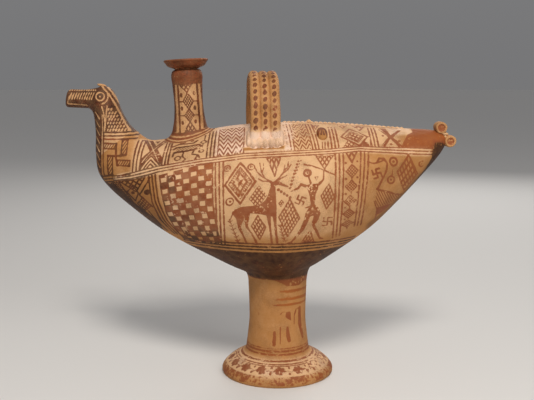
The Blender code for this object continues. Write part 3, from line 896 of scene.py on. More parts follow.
        # Umber tone over that end and edge, partly painted shade.
        self.blend(TONE,
                   [(185, 10), (215, 10), (215, -110), (122, -110), (126, -88), (144, -60), (166, -32),
                    (180, -4)], 0.0, 3)
        self.blends(
            SLIP,
            # Painted shade: the first blend darkens the ground along the tail's lower edge; the second is a
            # pale worn patch near the ridge.
            ([(190, 8), (183, -8), (174, -22), (158, -42), (144, -59), (130, -74), (112, -90), (110, -120),
              (215, -120), (215, 8)], -0.8, 4), ([(136, 22), (162, 22), (162, 60), (132, 60)], 0.95, 3)
        )
        if side is Side.FRONT:
            self.long_necked_bird()
        else:
            self.net([(113, -30), (125, -8), (137, -30), (125, -52)], (5, 5))
            self.zigzag([(112, -58), (140, -50), (128, -75), (112, -85)], 0, 6, 5)
        self.net([(142, -23), (154.5, -4.5), (166.5, -26), (152.5, -47)], (5, 4), 2.0)
        self.ring(170.5, -14, 3.2, 1.9)
        self.dot(170.5, -14, 0.9)

    def long_necked_bird(self) -> None:
        """A long-necked bird with a hatched body, and its filling ornaments."""
        self.strokes(
            ([(118, -15.5), (121, -10.5), (126, -10.5), (129.8, -15), (129.5, -21), (126.5, -29),
              (123, -36), (120.5, -42)], [1.8, 2.2, 2.4, 2.2, 2.0, 2.0, 2.2, 2.6]),
            ([(108.5, -15.5), (115, -16.5), (121, -14.5), (126, -12)], [1, 1.4, 1.6, 1.6]),
            ([(119, -43), (134, -46.5), (150, -53)], [2.2, 2.8, 1.8]),
            ([(117, -57), (122, -70), (121, -86)], [1.4, 1.8, 1.4])
        )
        self.hatch([(119.5, -43), (150, -52), (141, -62), (122, -66), (117.5, -60)], 118, 2.6)
        self.fill([(121, -66), (140, -63), (128, -76), (120, -78)])
        self.hooked_cross(118.5, -26.5, 4.4, 2.0, 20)
        for x, y, radius in ((137, -12.6, 4.2), (135, -32, 4.0)):
            self.ring(x, y, radius, 2.1)
            self.dot(x, y, 1.4)
        self.line([(136.5, -17), (135.6, -28)], 1.2)

    def hooked_cross(self, x: float, y: float, arm: float, width: float, turn: float) -> None:
        """A small meander cross, a common filling ornament of the age."""
        angle = math.radians(turn)
        for quarter in range(4):
            c, s = (f(angle + quarter * math.pi / 2) for f in (math.cos, math.sin))
            self.line([(x, y), (x + arm * c, y + arm * s), (x + arm * (c + s), y + arm * (s - c))], width)

    def hunt(self) -> None:
        """The large front panel: a stag, a walking figure with a spear, and filling ornaments."""
        self.stag()
        self.spear_bearer()
        self.hatched_lozenge(-20.4, -29.5, 15.2, 21.2)
        self.nets(
            ([(-12, -47), (-2, -33.5), (6.4, -44), (-3, -57)], (5, 4), 0),
            ([(14, -26), (6, -5), (20, -5)], (3, 3), 1.2),
            ([(18, -67.5), (29, -49.5), (39, -70), (27, -90)], (6, 6), 1.5),
            ([(-9.5, -75.5), (-3, -64.5), (5, -77.5), (-1, -92)], (4, 4), 1.5),
            ([(60, -48), (68, -36), (74, -50.5), (66, -62)], (4, 4), 1.4),
            ([(63.5, -21), (55.5, -5.5), (73, -6)], (4, 4), 1.2),
            ([(50, -84), (41, -99), (54, -99.5)], (4, 4), 1.2)
        )
        for x, y in ((-33.5, -12.5), (-9.5, -14)):
            self.arc(x, y, 3.2, -30, 290, 1.6, False)
            self.arc(x, y, 1.0, 0, 250, 1.2, False)
        self.ring(-31, -47, 3.7, 1.6)
        self.dot(-30.5, -47, 1.2)
        self.hooked_cross(39.5, -51.5, 3.9, 1.6, 65)
        self.hooked_cross(67.5, -76.5, 4.5, 1.6, 85)
        self.fill([(53, -28), (57.5, -28), (55.4, -33)])
        self.net([(18, -53), (21, -50), (23, -53), (20, -57)], (2, 2), 0.9)
        for k in range(9):
            x, y = 37.5 - 1.1 * k, -10.5 - 3.5 * k
            self.dot(x, y, 1.3)
            self.dot(x + 2.6 - 0.2 * k, y + 0.6, 0.9)
        for k in range(5):
            self.dot(17.5 + 2.9 * k, -39.5 - 2.1 * k, 1.5)
        twigs = (((-31.5, -66), (-23, -95)), ((19, -75), (25, -97)))
        for (x0, y0), (x1, y1) in twigs:
            self.line([(x0, y0), (x1, y1)], 1.1)
            for share in np.linspace(0.08, 0.92, 6):
                x, y = x0 + (x1 - x0) * share, y0 + (y1 - y0) * share
                self.line([(x - 2.2, y + 0.6), (x, y - 1.4), (x + 2.2, y + 1.2)], 1.1)

    def hatched_lozenge(self, x: float, y: float, wide: float, tall: float) -> None:
        """A lozenge with a thick double outline, ticks between, and four open cells inside."""
        corners = np.array([(-wide, 0), (0, tall), (wide, 0), (0, -tall)])
        middle = np.array([x, y])
        self.line(list(middle + corners), 2.1, closed=True)
        self.line(list(middle + 0.76 * corners), 1.2, closed=True)
        self.net(list(middle + 0.46 * corners), (2, 2), 1.6)
        for start, end in zip(corners, np.roll(corners, -1, axis=0)):
            for share in np.linspace(0.1, 0.9, 7):
                place = start + (end - start) * share
                self.line([middle + 0.76 * place, middle + 0.58 * place], 1.0)

    def stag(self) -> None:
        """A standing stag in silhouette, with branching antlers."""
        self.fill([(-29, -60), (-26, -56), (-20, -54.2), (-9, -54.2), (-1, -53.6), (5, -48.5), (8, -42),
                   (9.5, -36.5), (14.6, -36.5), (15.2, -48), (15.8, -58), (15.5, -65.5), (10, -66.5),
                   (5, -65), (-3, -62.8), (-10.8, -61.6), (-11.4, -66), (-14, -72), (-16.4, -71),
                   (-17, -68.5), (-20, -74), (-23.4, -73), (-25, -66)])
        self.strokes(
            ([(-27.5, -58.5), (-30.5, -66)], [2.4, 1.2]),
            ([(-21.5, -70), (-21.4, -77), (-18, -86), (-15, -95.5)], [5.4, 3.0, 1.8, 2.6]),
            ([(-14, -68), (-14.2, -76), (-9.5, -84), (-4.5, -95)], [4.6, 2.8, 1.8, 2.4]),
            ([(7.6, -64), (9.4, -78), (11, -96)], [4.4, 2.2, 2.4]),
            ([(13.6, -63), (14.6, -78), (16.6, -96)], [4.4, 2.2, 2.6]),
            ([(11.8, -38), (12, -33.5), (18, -33), (27, -37)], [4.6, 4.4, 3.6, 1.6]),
            ([(12, -33), (7.5, -29.5), (1, -25), (-3.5, -20), (-6, -14.5)], [2, 1.6, 1.4, 1.3, 1]),
            ([(4, -27), (0.5, -20), (-1, -10)], [1.5, 1.4, 1.1]),
            ([(1.5, -22), (3, -15), (2.4, -10.5)], [1.3, 1.2, 1]),
            ([(8, -30.5), (2, -30), (-2.5, -27)], [1.5, 1.3, 1]),
            ([(13, -33), (18.5, -27.5), (23, -21), (24, -14)], [2, 1.6, 1.4, 1.1]),
            ([(20.5, -25), (26.5, -20), (30.5, -13.5)], [1.5, 1.3, 1]),
            ([(23, -20.5), (27, -16), (27.6, -10)], [1.4, 1.2, 1]),
            ([(16, -30.5), (21.5, -27.5), (26, -25.5)], [1.5, 1.3, 1])
        )
        self.dot(13.5, -35, 0.7, erase=True)

    def spear_bearer(self) -> None:
        """A walking figure in silhouette that raises a spear."""
        self.ring(46.3, -24, 3.3, 2.4)
        self.dot(46.3, -24, 0.9)
        self.line([(47.6, -28), (50, -35.5)], [1.8, 2.2])
        self.fill([(44.5, -36.5), (50, -35.3), (57.5, -34.8), (57.6, -38.5), (54.6, -46), (54, -57),
                   (49.6, -57), (48.6, -46)])
        for x, y in ((48.5, -38.5), (52, -38), (55.3, -37.6), (51, -42), (53.4, -42.5), (51.8, -47)):
            self.dot(x, y, 0.7, erase=True)
        self.strokes(
            ([(46, -37.6), (40, -35.4), (37, -39), (30, -42)], [3.0, 2.6, 2.2, 1.4]),
            ([(56.5, -36.6), (61, -33), (62.6, -31), (62.8, -22)], [3.0, 2.2, 1.6, 1.3]),
            ([(43.6, -14.6), (51, -16.6), (62, -21.4), (75, -28)], [2.4, 1.6, 1.4, 1.2]),
            ([(47.8, -65), (45, -74), (42, -82), (36.5, -90), (30.5, -97.5), (25, -98.4)],
             [5.8, 5.2, 4.2, 2.6, 2.0, 1.6]),
            ([(56.6, -66), (55.4, -72), (52.6, -78), (56.5, -87), (60.5, -97), (63.5, -97.8)],
             [6.4, 5.4, 3.4, 2.8, 2.0, 1.6]), ([(49, -58), (44.6, -59.6)], 1.4)
        )
        self.fill([(47, -61), (49.6, -56.5), (54.4, -56.5), (58.6, -61), (60, -66), (57, -71), (52, -68),
                   (48, -70), (45.4, -66)])
        self.blend(WEAR, [(38, -60), (66, -60), (70, -100), (22, -100)], 0.36, 6)

    def plain_panel(self) -> None:
        """The far side's large panel: three netted lozenges between zigzags."""
        for x in (-14, 19, 52):
            self.net([(x - 15, -50), (x, -14), (x + 15, -50), (x, -86)], (8, 8), 1.9)
            self.line([(x - 11, -50), (x, -22), (x + 11, -50), (x, -78)], 1.2, closed=True)
        for x in (-30.5, 2.5, 35.5, 68.5):
            for v in (-14, -86):
                self.ring(x, v, 3.2)
                self.dot(x, v, 1.0)
        self.zigzag(box(-35, -91, 73, -97), 0, 8, 7)

    def belly(self) -> None:
        """Bands round the belly, laid out by height, and the solid dark keel, with painted shade in the
        ground of the lower body.
        """
        for height in (157.6, 154.2, 150.8):
            self.line([(-82, height), (0, height), (100, height)], 1.8)
        self.fill(box(-95, 147.6, 110, 90))
        self.blend(TONE, box(-110, 158, 120, 90), 0.02, 5)
        self.blend(WEAR, box(-95, 146, 110, 90), 0.05, 4)
        # Painted shade: a low slip darkens the ground of the lower body, between and below the bands.
        self.blend(SLIP, box(-190, 162, 190, 90), 0.1, 8)

    def neck(self) -> None:
        """Neck and head, laid out in X and height: pale strokes are left free of the dark paint."""
        self.fill([(-230, 330), (-120, 330), (-120, 268.8), (-168.5, 268.8), (-170, 205), (-230, 205)])
        self.blends(TONE, (box(-230, 330, -120, 262), 0.1, 4), (box(-230, 262, -166, 200), 0.1, 3))
        self.blend(WEAR, box(-230, 330, -120, 200), 0.06, 4)
        self.blend(SLIP, box(-230, 330, -130, 266), 0.45, 4)
        for number in range(10):
            x = -204.6 + 2.75 * number
            self.line([(x, 302.6), (x + 2.4, 309)], [1.2, 1.0], erase=True)
        for number in range(12):
            self.dot(-205 + 2.6 * number, 311.8 + 0.02 * number, 0.85, erase=True)
        self.strokes(([(-206.4, 297.6), (-194, 296.6), (-186, 296)], 1.0),
                     ([(-207, 298), (-205, 306)], 1.0), erase=True)
        self.ring(-170.6, 305.3, 4.3, 1.3, erase=True)
        self.dot(-170.6, 305.3, 0.9, erase=True)
        self.arc(-170.6, 305.3, 8.0, -75, 50, 1.2, True)
        self.strokes(
            ([(-170, 316), (-162.4, 308.6), (-155.6, 297), (-150.6, 286.6), (-144.6, 275.6), (-139, 268)],
             1.4),
            ([(-166, 317), (-159.6, 310), (-152.6, 298), (-147.6, 288), (-141.6, 277), (-134, 268)], 1.3),
            ([(-168.8, 294.6), (-166.8, 288), (-165.6, 279)], 1.5),
            ([(-163.2, 295.4), (-164.4, 282), (-165.6, 270)], 1.5), erase=True
        )
        for row in range(7):
            z = 292.4 - 3.55 * row
            for x in np.arange(-161.6 + 1.2 * (row % 2), -160.5 + 2.65 * row + 4, 2.9):
                self.line([(x, z), (x - 0.5, z - 1.2)], 1.6, erase=True)
        for number in range(8):
            z = 289 - 8.6 * number
            self.line([(-176.6, z), (-171.6, z - 7)], [1.0, 1.4], erase=True)
        self.line([(-168.4, 286), (-167.6, 268), (-168.2, 222)], 1.1, erase=True)
        self.line([(-166.6, 268), (-167, 221)], 1.5)
        for height in (267.8, 264.3, 260.9):
            self.line([(-167, height), (-150, height), (-132, height + 0.6)], 1.7)
        # Dark band low on the breast's front, carried on from the body: partly paint, partly painted shade
        # where the breast turns under.
        self.fill([(-195, 222), (-169, 222), (-168, 214.6), (-160, 213), (-152, 209), (-156, 192),
                   (-195, 192)])
        for rise in (-3.3, 0.0, 3.3):
            self.line([(-170, 217.3 + rise), (-156, 220.0 + rise)], 1.6)
        self.line([(-167, 222.4), (-148, 223.4), (-136, 225.6)], 1.6)
        self.hatched_cross()

    def hatched_cross(self) -> None:
        """The large meander cross of the neck's panel, with hatched arms."""
        self.blend(TONE, box(-167, 260, -131, 222), 0.2, 2)
        arms = ((-166.5, 251, -152, 256.4), (-146, 245.4, -140.4, 260.4), (-161.4, 224, -155.8, 243.6),
                (-150, 234.2, -136, 239.8))
        for arm in arms:
            self.line(box(*arm), 1.7, closed=True)
            self.hatch(box(*arm), 58, 2.3)
        self.strokes(([(-152, 256.4), (-152, 243.6), (-150.4, 234.2)], 2.2),
                     ([(-161.4, 243.8), (-150, 244), (-140.4, 245)], 2.2))


@dataclass(frozen=True)
class BirdPainting:
    """Everything painted on the bird's skin, with the stations between which each part lies."""

    painting: Painting
    points: Array
    girth: Array
    side: Array
    station: Array
    body: Point = (0, 14.6)
    breast: Point = (5, 13.1)
    frame: Point = (0, 13.1)
    belly: Point = (0, 12.5)
    neck: Point = (11.8, 23)

    def canvas(self, side: Side | None, x: Array, y: Array, stations: Point) -> BirdCanvas:
        """A canvas on one side or both, between two stations."""
        station = np.broadcast_to(self.station[:, None], self.side.shape)
        where = (station >= stations[0]) & (station <= stations[1])
        if side is not None:
            where &= self.side == side.value
        return BirdCanvas(self.painting, x, y, where)

    def paint(self) -> None:
        """Paint both sides, the belly, the neck and the head."""
        x, z = self.points[..., 0] / MM, self.points[..., 2] / MM
        for side in Side:
            canvas = self.canvas(side, x, self.girth, self.body)
            canvas.tints()
            canvas.upper_zone(side)
            canvas.checkers()
            self.canvas(side, x, self.girth, self.breast).breast()
            canvas.tail_zone(side)
            if side is Side.FRONT:
                canvas.hunt()
            else:
                canvas.plain_panel()
            self.canvas(side, x, self.girth, self.frame).frame_lines()
        self.canvas(None, x, z, self.belly).belly()
        self.canvas(None, x, z, self.neck).neck()


@dataclass(frozen=True)
class Spout:
    """Rim, cup, throat, bulb and shaft of the spout, with the bore and a skirt on the back."""

    skin: Skin
    x: float = -0.07655
    rise: float = 0.0795
    lean: float = math.radians(-3.0)
    rim_radius: float = 0.0238
    lip: float = 0.0032
    cup_depth: float = 0.0100
    throat_radius: float = 0.0126
    bulb_radius: float = 0.0168
    bulb_height: float = 0.0150
    shaft_radius: float = 0.0154
    base_spread: float = 0.0190
    buried: float = 0.020
    bore_radius: float = 0.0085
    funnel_wall: float = 0.0042
    reach: float = 0.0080
    flare: float = 0.19
    flare_radii: Point = (0.0185, 0.030)
    inside_rows: int = 22
    sides: int = 160

    def profile(self) -> Array:
        """Radius and height above the ridge, from the bore's low end over the rim to the flare."""
        rim, neck, bulb, shaft = self.rim_radius, self.throat_radius, self.bulb_radius, self.shaft_radius
        rise, lip, cup = self.rise, self.lip, self.cup_depth
        throat, mouth, bore = rise - cup, rim - self.funnel_wall, self.bore_radius
        low = throat - self.bulb_height
        inner = smooth_run(
            [(bore, throat - 0.004), (bore, throat), (0.45 * mouth + 0.55 * bore, throat + 0.5 * cup),
             (mouth - 0.0006, rise - 0.55 * lip), (mouth + 0.0006, rise)], 5,
        )
        edge = smooth_run(
            [(mouth + 0.0012, rise + 0.0002), (rim - 0.25 * lip, rise), (rim, rise - 0.4 * lip),
             (rim - 0.44 * lip, rise - lip)], 4,
        )
        outer = smooth_run(
            [(rim - 0.5 * lip, rise - 1.08 * lip), (0.6 * rim + 0.4 * neck, throat + 0.3 * cup),
             (neck, throat), (0.35 * neck + 0.65 * bulb, throat - 0.14 * self.bulb_height),
             (bulb, throat - 0.48 * self.bulb_height), (0.55 * bulb + 0.45 * shaft, low)], 6,
        )
        spread = self.base_spread
        foot = smooth_run(
            [(0.5 * bulb + 0.5 * shaft, 0.97 * low), (shaft, 0.62 * low),
             (shaft + 0.06 * spread, 0.32 * low), (shaft + 0.15 * spread, 0.16 * low)], 14,
        )
        return np.concatenate([np.array([(bore, -self.buried)]), inner, edge, outer, foot])

    def build(self, material: Material) -> Object:
        """Model and paint the spout."""
        turn = circle(self.sides) - math.pi / 2
        profile = self.profile()
        lean = tilted(self.lean)
        rings = turned(profile, turn) @ lean.T + np.array([self.x, 0, self.skin.ridge(self.x)])
        lead = turned(np.array([(self.flare, -1)]), turn)[0] @ lean.T
        spread = skirt(self.skin, rings[-1], lead, (self.x, 0.0), self.reach, True, 12)
        piece = Piece("spout")
        index = piece.grid(np.concatenate([rings, spread]))
        piece.quads(np.vstack([index, index[:1]]))
        painting = Painting(piece.count, tone=0.2, slip=0.42, wear=0.12)
        fall = run_length(np.linalg.norm(np.diff(spread, axis=0), axis=2).mean(1))
        height = np.concatenate([profile[:, 1], profile[-1, 1] - SUNK - fall]) / MM
        radius = np.concatenate([profile[:, 0], np.linspace(*self.flare_radii, len(spread))]) / MM
        inside = np.arange(len(height)) < self.inside_rows
        across, up = radius[:, None] * np.cos(turn), np.repeat(height[:, None], self.sides, 1)
        self.paint(painting, across, up, inside)
        return piece.finish(painting, material)

    def paint(self, painting: Painting, x: Array, height: Array, inside: Array) -> None:
        """Solid bulb and rim, a lozenge chain on the shaft, and bands round the foot."""
        canvas = Canvas(painting, x, height, np.repeat(~inside[:, None], self.sides, 1).ravel())
        canvas.fill(box(-40, 53.4, 40, 90), [(14.0, 53), (30, 53), (30, 4), (15.4, 4)],
                    [(-30, 53), (-12.4, 53), (-13.4, 4), (-30, 4)])
        canvas.lines([[(-9, 53), (-9.4, 4)], [(11, 53), (11.8, 4)]], 2.1)
        canvas.nets(
            ([(0.4, 44.6), (-7.6, 53), (6.4, 53)], (3, 3), 1.3),
            ([(-4.2, 35.4), (0.8, 44), (6.6, 35.6), (1.4, 27)], (4, 4), 1.3),
            ([(-3.6, 20.4), (1.6, 27), (6.6, 20.6), (2, 13.8)], (4, 4), 1.3),
            ([(2, 13.6), (-4.6, 3.6), (8, 4.4)], (3, 3), 1.3)
        )
        canvas.lines([[(-9, 35), (-4, 35.2)], [(6.4, 35.6), (11, 35.4)], [(-9, 20), (-3.6, 20.3)],
                      [(6.4, 20.6), (11.4, 20.4)]], 1.3)
        canvas.blend(TONE, box(-40, 53, 40, 90), 0.29, 3)
        for left, right in ((42, 43.6), (28, 28), (12.8, 13.6)):
            canvas.strokes(([(-6, left + 0.9), (-6, left - 0.9)], 2.9),
                           ([(7.6, right + 0.9), (7.6, right - 0.9)], 2.9))
        for low, width in ((2.6, 2.9), (-1.9, 2.5), (-6.3, 2.3), (-10.6, 2.0)):
            canvas.line([(-60, low), (0, low), (60, low)], width)
        canvas.blend(TONE, box(-60, 4, 60, -20), 0.3, 2)


@dataclass(frozen=True)
class Pedestal:
    """The turned stem and foot, hollow below, with a skirt up to the belly."""

    skin: Skin
    radius: float = 0.0313
    foot_spread: float = 0.0045
    wall: float = 0.009
    floor: float = 0.010
    foot_radius: float = 0.0618
    foot_height: float = 0.026
    edge: float = 0.0045
    edge_turn: float = 0.0012
    rest_ring: float = 0.0075
    neck_height: float = 0.104
    flare: float = 0.10
    reach: float = 0.0045
    stem_girth: float = 33.0
    foot_girth: float = 51.0
    stem_low: float = 0.024
    foot_high: float = 0.0275
    edge_top: float = 0.0055
    sides: int = 224

    def profile(self) -> tuple[Array, Array]:
        """Radius and height, from the hollow's top round the foot's edge to the top of the stem."""
        keel, foot, edge, turn = self.skin.keel, self.foot_height, self.edge, self.edge_turn
        bore, top, wide = self.radius - self.wall, keel - self.floor, self.foot_radius
        mouth = wide - turn - self.rest_ring
        hollow = smooth_run(
            [(0.0006, top), (0.6 * bore, top - 0.03 * keel), (bore, top - 0.14 * keel),
             (1.04 * bore, 1.25 * foot), (0.72 * bore + 0.28 * mouth, 0.72 * foot),
             (0.3 * bore + 0.7 * mouth, 0.32 * foot), (mouth, 0.0002)], 8,
        )
        stem, spread = self.radius, self.foot_spread
        root, shaft, rise = stem + spread, keel - foot, foot - edge
        slope = wide - root
        rest = np.array([(mouth + 0.0004, 0.0), (wide - turn - 0.0004, 0.0)])
        outer = smooth_run(
            [(wide - turn, 0.0002), (wide - 0.35 * turn, 0.25 * edge), (wide, 0.75 * edge),
             (wide - 0.7 * turn, 1.4 * edge), (root + 0.82 * slope, edge + 0.30 * rise),
             (root + 0.55 * slope, edge + 0.56 * rise), (root + 0.22 * slope, edge + 0.78 * rise),
             (root, foot), (stem + 0.62 * spread, foot + 0.11 * shaft),
             (stem + 0.30 * spread, foot + 0.27 * shaft), (stem, foot + 0.45 * shaft),
             (stem, foot + 0.65 * shaft), (stem + 0.0010, self.neck_height)], 10,
        )
        return np.concatenate([hollow, rest]), outer

    def build(self, material: Material) -> Object:
        """Model and paint the pedestal."""
        turn = circle(self.sides) - math.pi / 2
        below, outer = self.profile()
        profile = np.concatenate([below, outer])
        axis = self.skin.foot_x
        rings = turned(profile, turn) + np.array([axis, 0, 0])
        lead = turned(np.array([(self.flare, 1)]), turn)[0]
        spread = skirt(self.skin, rings[-1], lead, (axis, 0.0), self.reach, False, 10)
        piece = Piece("stem_and_foot")
        index = piece.grid(np.concatenate([rings, spread]))
        piece.quads(index)
        piece.pole(index[0], (axis, 0.0, profile[0, 1]))
        piece.polygon(index[-1])
        # A low slip keeps the stem's ground dark tan: partly the clay's own colour, partly painted shade
        # under the body.
        painting = Painting(piece.count, tone=0.62, slip=0.14, wear=0.36)
        outside = np.arange(len(index)) >= len(below)
        self.paint(painting, np.concatenate([rings, spread]), outside)
        return piece.finish(painting, material)

    def paint(self, painting: Painting, points: Array, outside: Array) -> None:
        """What is left of the stem's strokes and rings, and the rosettes on the foot."""
        x, y, z = (points[..., k] for k in range(3))
        x = x - self.skin.foot_x
        radius, turn = np.hypot(x, y) / MM, np.arctan2(x, -y)
        shown = np.repeat(outside[:, None], points.shape[1], axis=1)
        pad = np.zeros(len(painting.values[TONE]) - shown.size, bool)
        stem, flat, height = (
            np.append(values, pad)
            for values in (shown & (z > self.stem_low), self.stem_girth * turn, z / MM)
        )
        self.stem_strokes(Canvas(painting, flat, height, stem))
        out = radius + np.maximum((self.edge_top - z) / MM, 0)
        foot, arc, out = (
            np.append(values, pad)
            for values in (shown & (z <= self.foot_high), self.foot_girth * turn, out)
        )
        self.foot_rosettes(Canvas(painting, arc, out, foot))

    def stem_strokes(self, canvas: Canvas) -> None:
        """Worn rings and brush strokes on the stem, laid out by arc and height."""
        # The first fill and the first tone and wear blends make the dark band round the stem's top: partly
        # paint, partly painted shade under the belly.
        canvas.fill(
            box(-110, 110.4, 110, 160),
            [(-10, 113), (4, 107), (10, 103.4), (26, 102.6), (34, 106), (60, 104), (60, 119), (-24, 119)]
        )
        canvas.blends(TONE, (box(-110, 111, 110, 160), 0.0, 2), (box(0, 76, 60, 101), 0.85, 4))
        canvas.blends(WEAR, (box(-110, 112, 110, 160), 0.0, 2), (box(-6, 36, 60, 104), 0.1, 4))
        for height, start in ((98.5, 2), (93.4, -3), (88.2, -2), (82.6, -9)):
            canvas.strokes(
                ([(start, height), (start + 14, height - 0.3), (60, height + 0.4)], [1.4, 2.5, 2.3]),
                ([(60, height + 0.4), (104, height)], 1.4), ([(-104, height), (-48, height)], 1.3)
            )
        canvas.strokes(
            ([(3, 72), (5, 74.4), (10, 74)], 1.5),
            ([(20, 60), (20.4, 70), (22.6, 76), (28, 76.6)], [1.4, 1.9, 2.2, 2.6]),
            ([(28.5, 77), (29, 60), (32.6, 44)], [4.2, 6.4, 4.6]), ([(-4, 38.6), (-3.6, 52)], [4.2, 3.2]),
            ([(2.6, 40), (3, 58)], 1.3), ([(11.4, 57), (11.6, 48), (13, 43)], [3.0, 4.6, 4.0])
        )
        canvas.fill([(9.4, 75), (15, 74.6), (16, 64.4), (12, 66.4), (9, 69)])
        canvas.dot(-24.4, 71, 1.7)
        canvas.dot(-22.6, 58, 0.7)
        for shift in (52, 66, 80, -60, -74, -88):
            canvas.line([(shift, 76), (shift + 0.6, 60), (shift + 1.6, 46)], [2.4, 3.6, 1.6])
        for height, width in ((34.6, 1.1), (31.6, 2.4), (28.0, 2.2)):
            canvas.line([(-110, height), (0, height), (110, height)], width)
        canvas.blend(WEAR, [(-46, 106), (3, 106), (-8, 36), (-46, 36)], 0.7, 5)

    def foot_rosettes(self, canvas: Canvas) -> None:
        """Rings, rosettes and the edge band, laid out by arc and by the way out and over the edge."""
        length = self.foot_girth * math.pi
        for radius, width in ((39.8, 2.2), (43.6, 1.5), (45.9, 1.3)):
            canvas.line([(-length, radius), (0, radius), (length, radius)], width)
        for number in range(16):
            centre = self.foot_girth * math.radians(2.6 + 22.5 * (number - 8))
            canvas.dot(centre, 51.2, 2.6)
            for petal in range(6):
                turn = math.radians(60 * petal + 40 * number)
                canvas.dot(centre + 4.2 * math.cos(turn), 51.2 + 3.0 * math.sin(turn), 1.8)
            canvas.dot(centre + 10.5, 48.4, 1.5)
            canvas.dot(centre + 9.6, 54.4, 1.4)
            canvas.line([(centre + 4, 52.6), (centre + 8, 51.4), (centre + 12, 53), (centre + 16, 50)], 0.9)
        canvas.fill(box(-length - 4, 57.2, length + 4, 64.4))
        canvas.blend(TONE, box(-length, 38, length, 57), 0.44, 1)
        canvas.blends(
            WEAR, (box(-length, 47, length, 56), 0.26, 1), (box(-length, 56, length, 68), 0.62, 1),
            ([(30, 40), (70, 40), (70, 68), (24, 68)], 0.62, 6)
        )
        canvas.blend(SLIP, box(-200, 38, 200, 58), 0.8, 3)


@dataclass(frozen=True)
class Handle:
    """Three coils side by side over the back, on a pressed pad at each shoulder."""

    skin: Skin
    x: float = 0.00115
    rise: float = 0.0558
    half_span: float = 0.0520
    turn: float = math.radians(4.0)
    squareness: float = 2.5
    coil_radius: float = 0.0056
    press: float = 0.0014
    coils: int = 3
    foot_swell: float = 1.15
    swell_share: float = 0.25
    foot_drop: float = 0.004
    clearance: float = 0.0075
    skirt_reach: float = 0.0010
    steps: int = 110
    sides: int = 40

    def path(self, number: int) -> tuple[Array, Array]:
        """Middle line and radii of one coil, clear of the skin at its two ends.

        The line is the arch |y / half span|^n + |z / arch|^n = 1, with n the squareness.
        """
        edge = self.skin.height_at(np.array([self.x]), np.array([self.half_span]), True)[0]
        foot = edge - self.foot_drop
        arch = self.skin.ridge(self.x) + self.rise - self.coil_radius - foot
        angle = np.linspace(0.0, math.pi, 1201)
        bend = 2 / self.squareness
        y = -self.half_span * np.sign(np.cos(angle)) * np.abs(np.cos(angle)) ** bend
        z = foot + arch * np.sin(angle) ** bend
        swell = 1 + (self.foot_swell - 1) * np.clip(1 - (z - foot) / (self.swell_share * arch), 0, 1)
        side = (number - (self.coils - 1) / 2) * (2 * self.coil_radius - self.press)
        line = np.stack([self.x + side * swell - y * math.tan(self.turn), y, z], axis=1)
        clear = z > self.skin.height_at(line[:, 0], y, True) + self.clearance
        line, radius = line[clear], self.coil_radius * swell[clear]
        run = run_length(np.linalg.norm(np.diff(line, axis=0), axis=1))
        at = np.linspace(0, run[-1], self.steps)
        return (
            np.stack([np.interp(at, run, line[:, k]) for k in range(3)], axis=1),
            np.interp(at, run, radius),
        )

    def build(self, material: Material) -> list[Object]:
        """Model and paint the coils."""
        made = []
        for number in range(self.coils):
            line, radius = self.path(number)
            ahead = unit(np.gradient(line, axis=0))
            beside = unit(np.cross(ahead, np.array([1.0, 0.0, 0.0])))
            other = np.cross(beside, ahead)
            angle = circle(self.sides)
            uneven = 1 + 0.03 * np.sin(np.linspace(0, 31, self.steps) + 2.1 * number)
            wide = (radius * uneven)[:, None, None]
            rings = line[:, None] + wide * (
                beside[:, None] * np.cos(angle)[None, :, None]
                + other[:, None] * np.sin(angle)[None, :, None]
            )
            piece = Piece(f"handle_coil_{number + 1}")
            ends = []
            for row, way in ((0, -1), (-1, 1)):
                lead = np.tile(ahead[row] * way, (self.sides, 1))
                centre = (float(line[row, 0]), float(line[row, 1]))
                ends.append(skirt(self.skin, rings[row], lead, centre, self.skirt_reach, True, 5))
            grid = np.concatenate([ends[0][::-1], rings, ends[1]])
            piece.tube(grid)
            painting = Painting(piece.count, tone=0.26, slip=0.25, wear=0.15)
            along = run_length(np.linalg.norm(np.diff(grid.mean(axis=1), axis=0), axis=1)) / MM
            around = np.broadcast_to((angle - math.pi) * self.coil_radius / MM, grid.shape[:2])
            self.paint(painting, around, np.repeat(along[:, None], self.sides, 1), number)
            made.append(piece.finish(painting, material))
        return made

    def paint(self, painting: Painting, around: Array, along: Array, number: int) -> None:
        """A row of dots along the coil's outer side, and a dark line where coils meet, partly painted shade
        in the groove.
        """
        canvas = Canvas(painting, around, along, np.ones(around.size, bool))
        length = float(along.max())
        for count, place in enumerate(np.arange(17 - 1.5 * number, length - 14, 7.3)):
            wide = 2.1 + 0.25 * math.sin(2.3 * count + number)
            canvas.line([(0.4, place - 0.7), (-0.3, place + 0.7)], 2 * wide)
        # The dark line down each side where the coils touch is partly painted shade in the groove between
        # them.
        quarter = 0.5 * math.pi * self.coil_radius / MM
        for side in (-1, 1):
            canvas.line([(side * quarter, 16), (side * quarter, length - 16)], 2.0)
        for low, high in ((-5, 15), (length - 15, length + 5)):
            end = box(-30, low, 30, high)
            canvas.blend(SLIP, end, 1.1, 4)
            canvas.blend(WEAR, end, 0.9, 3)


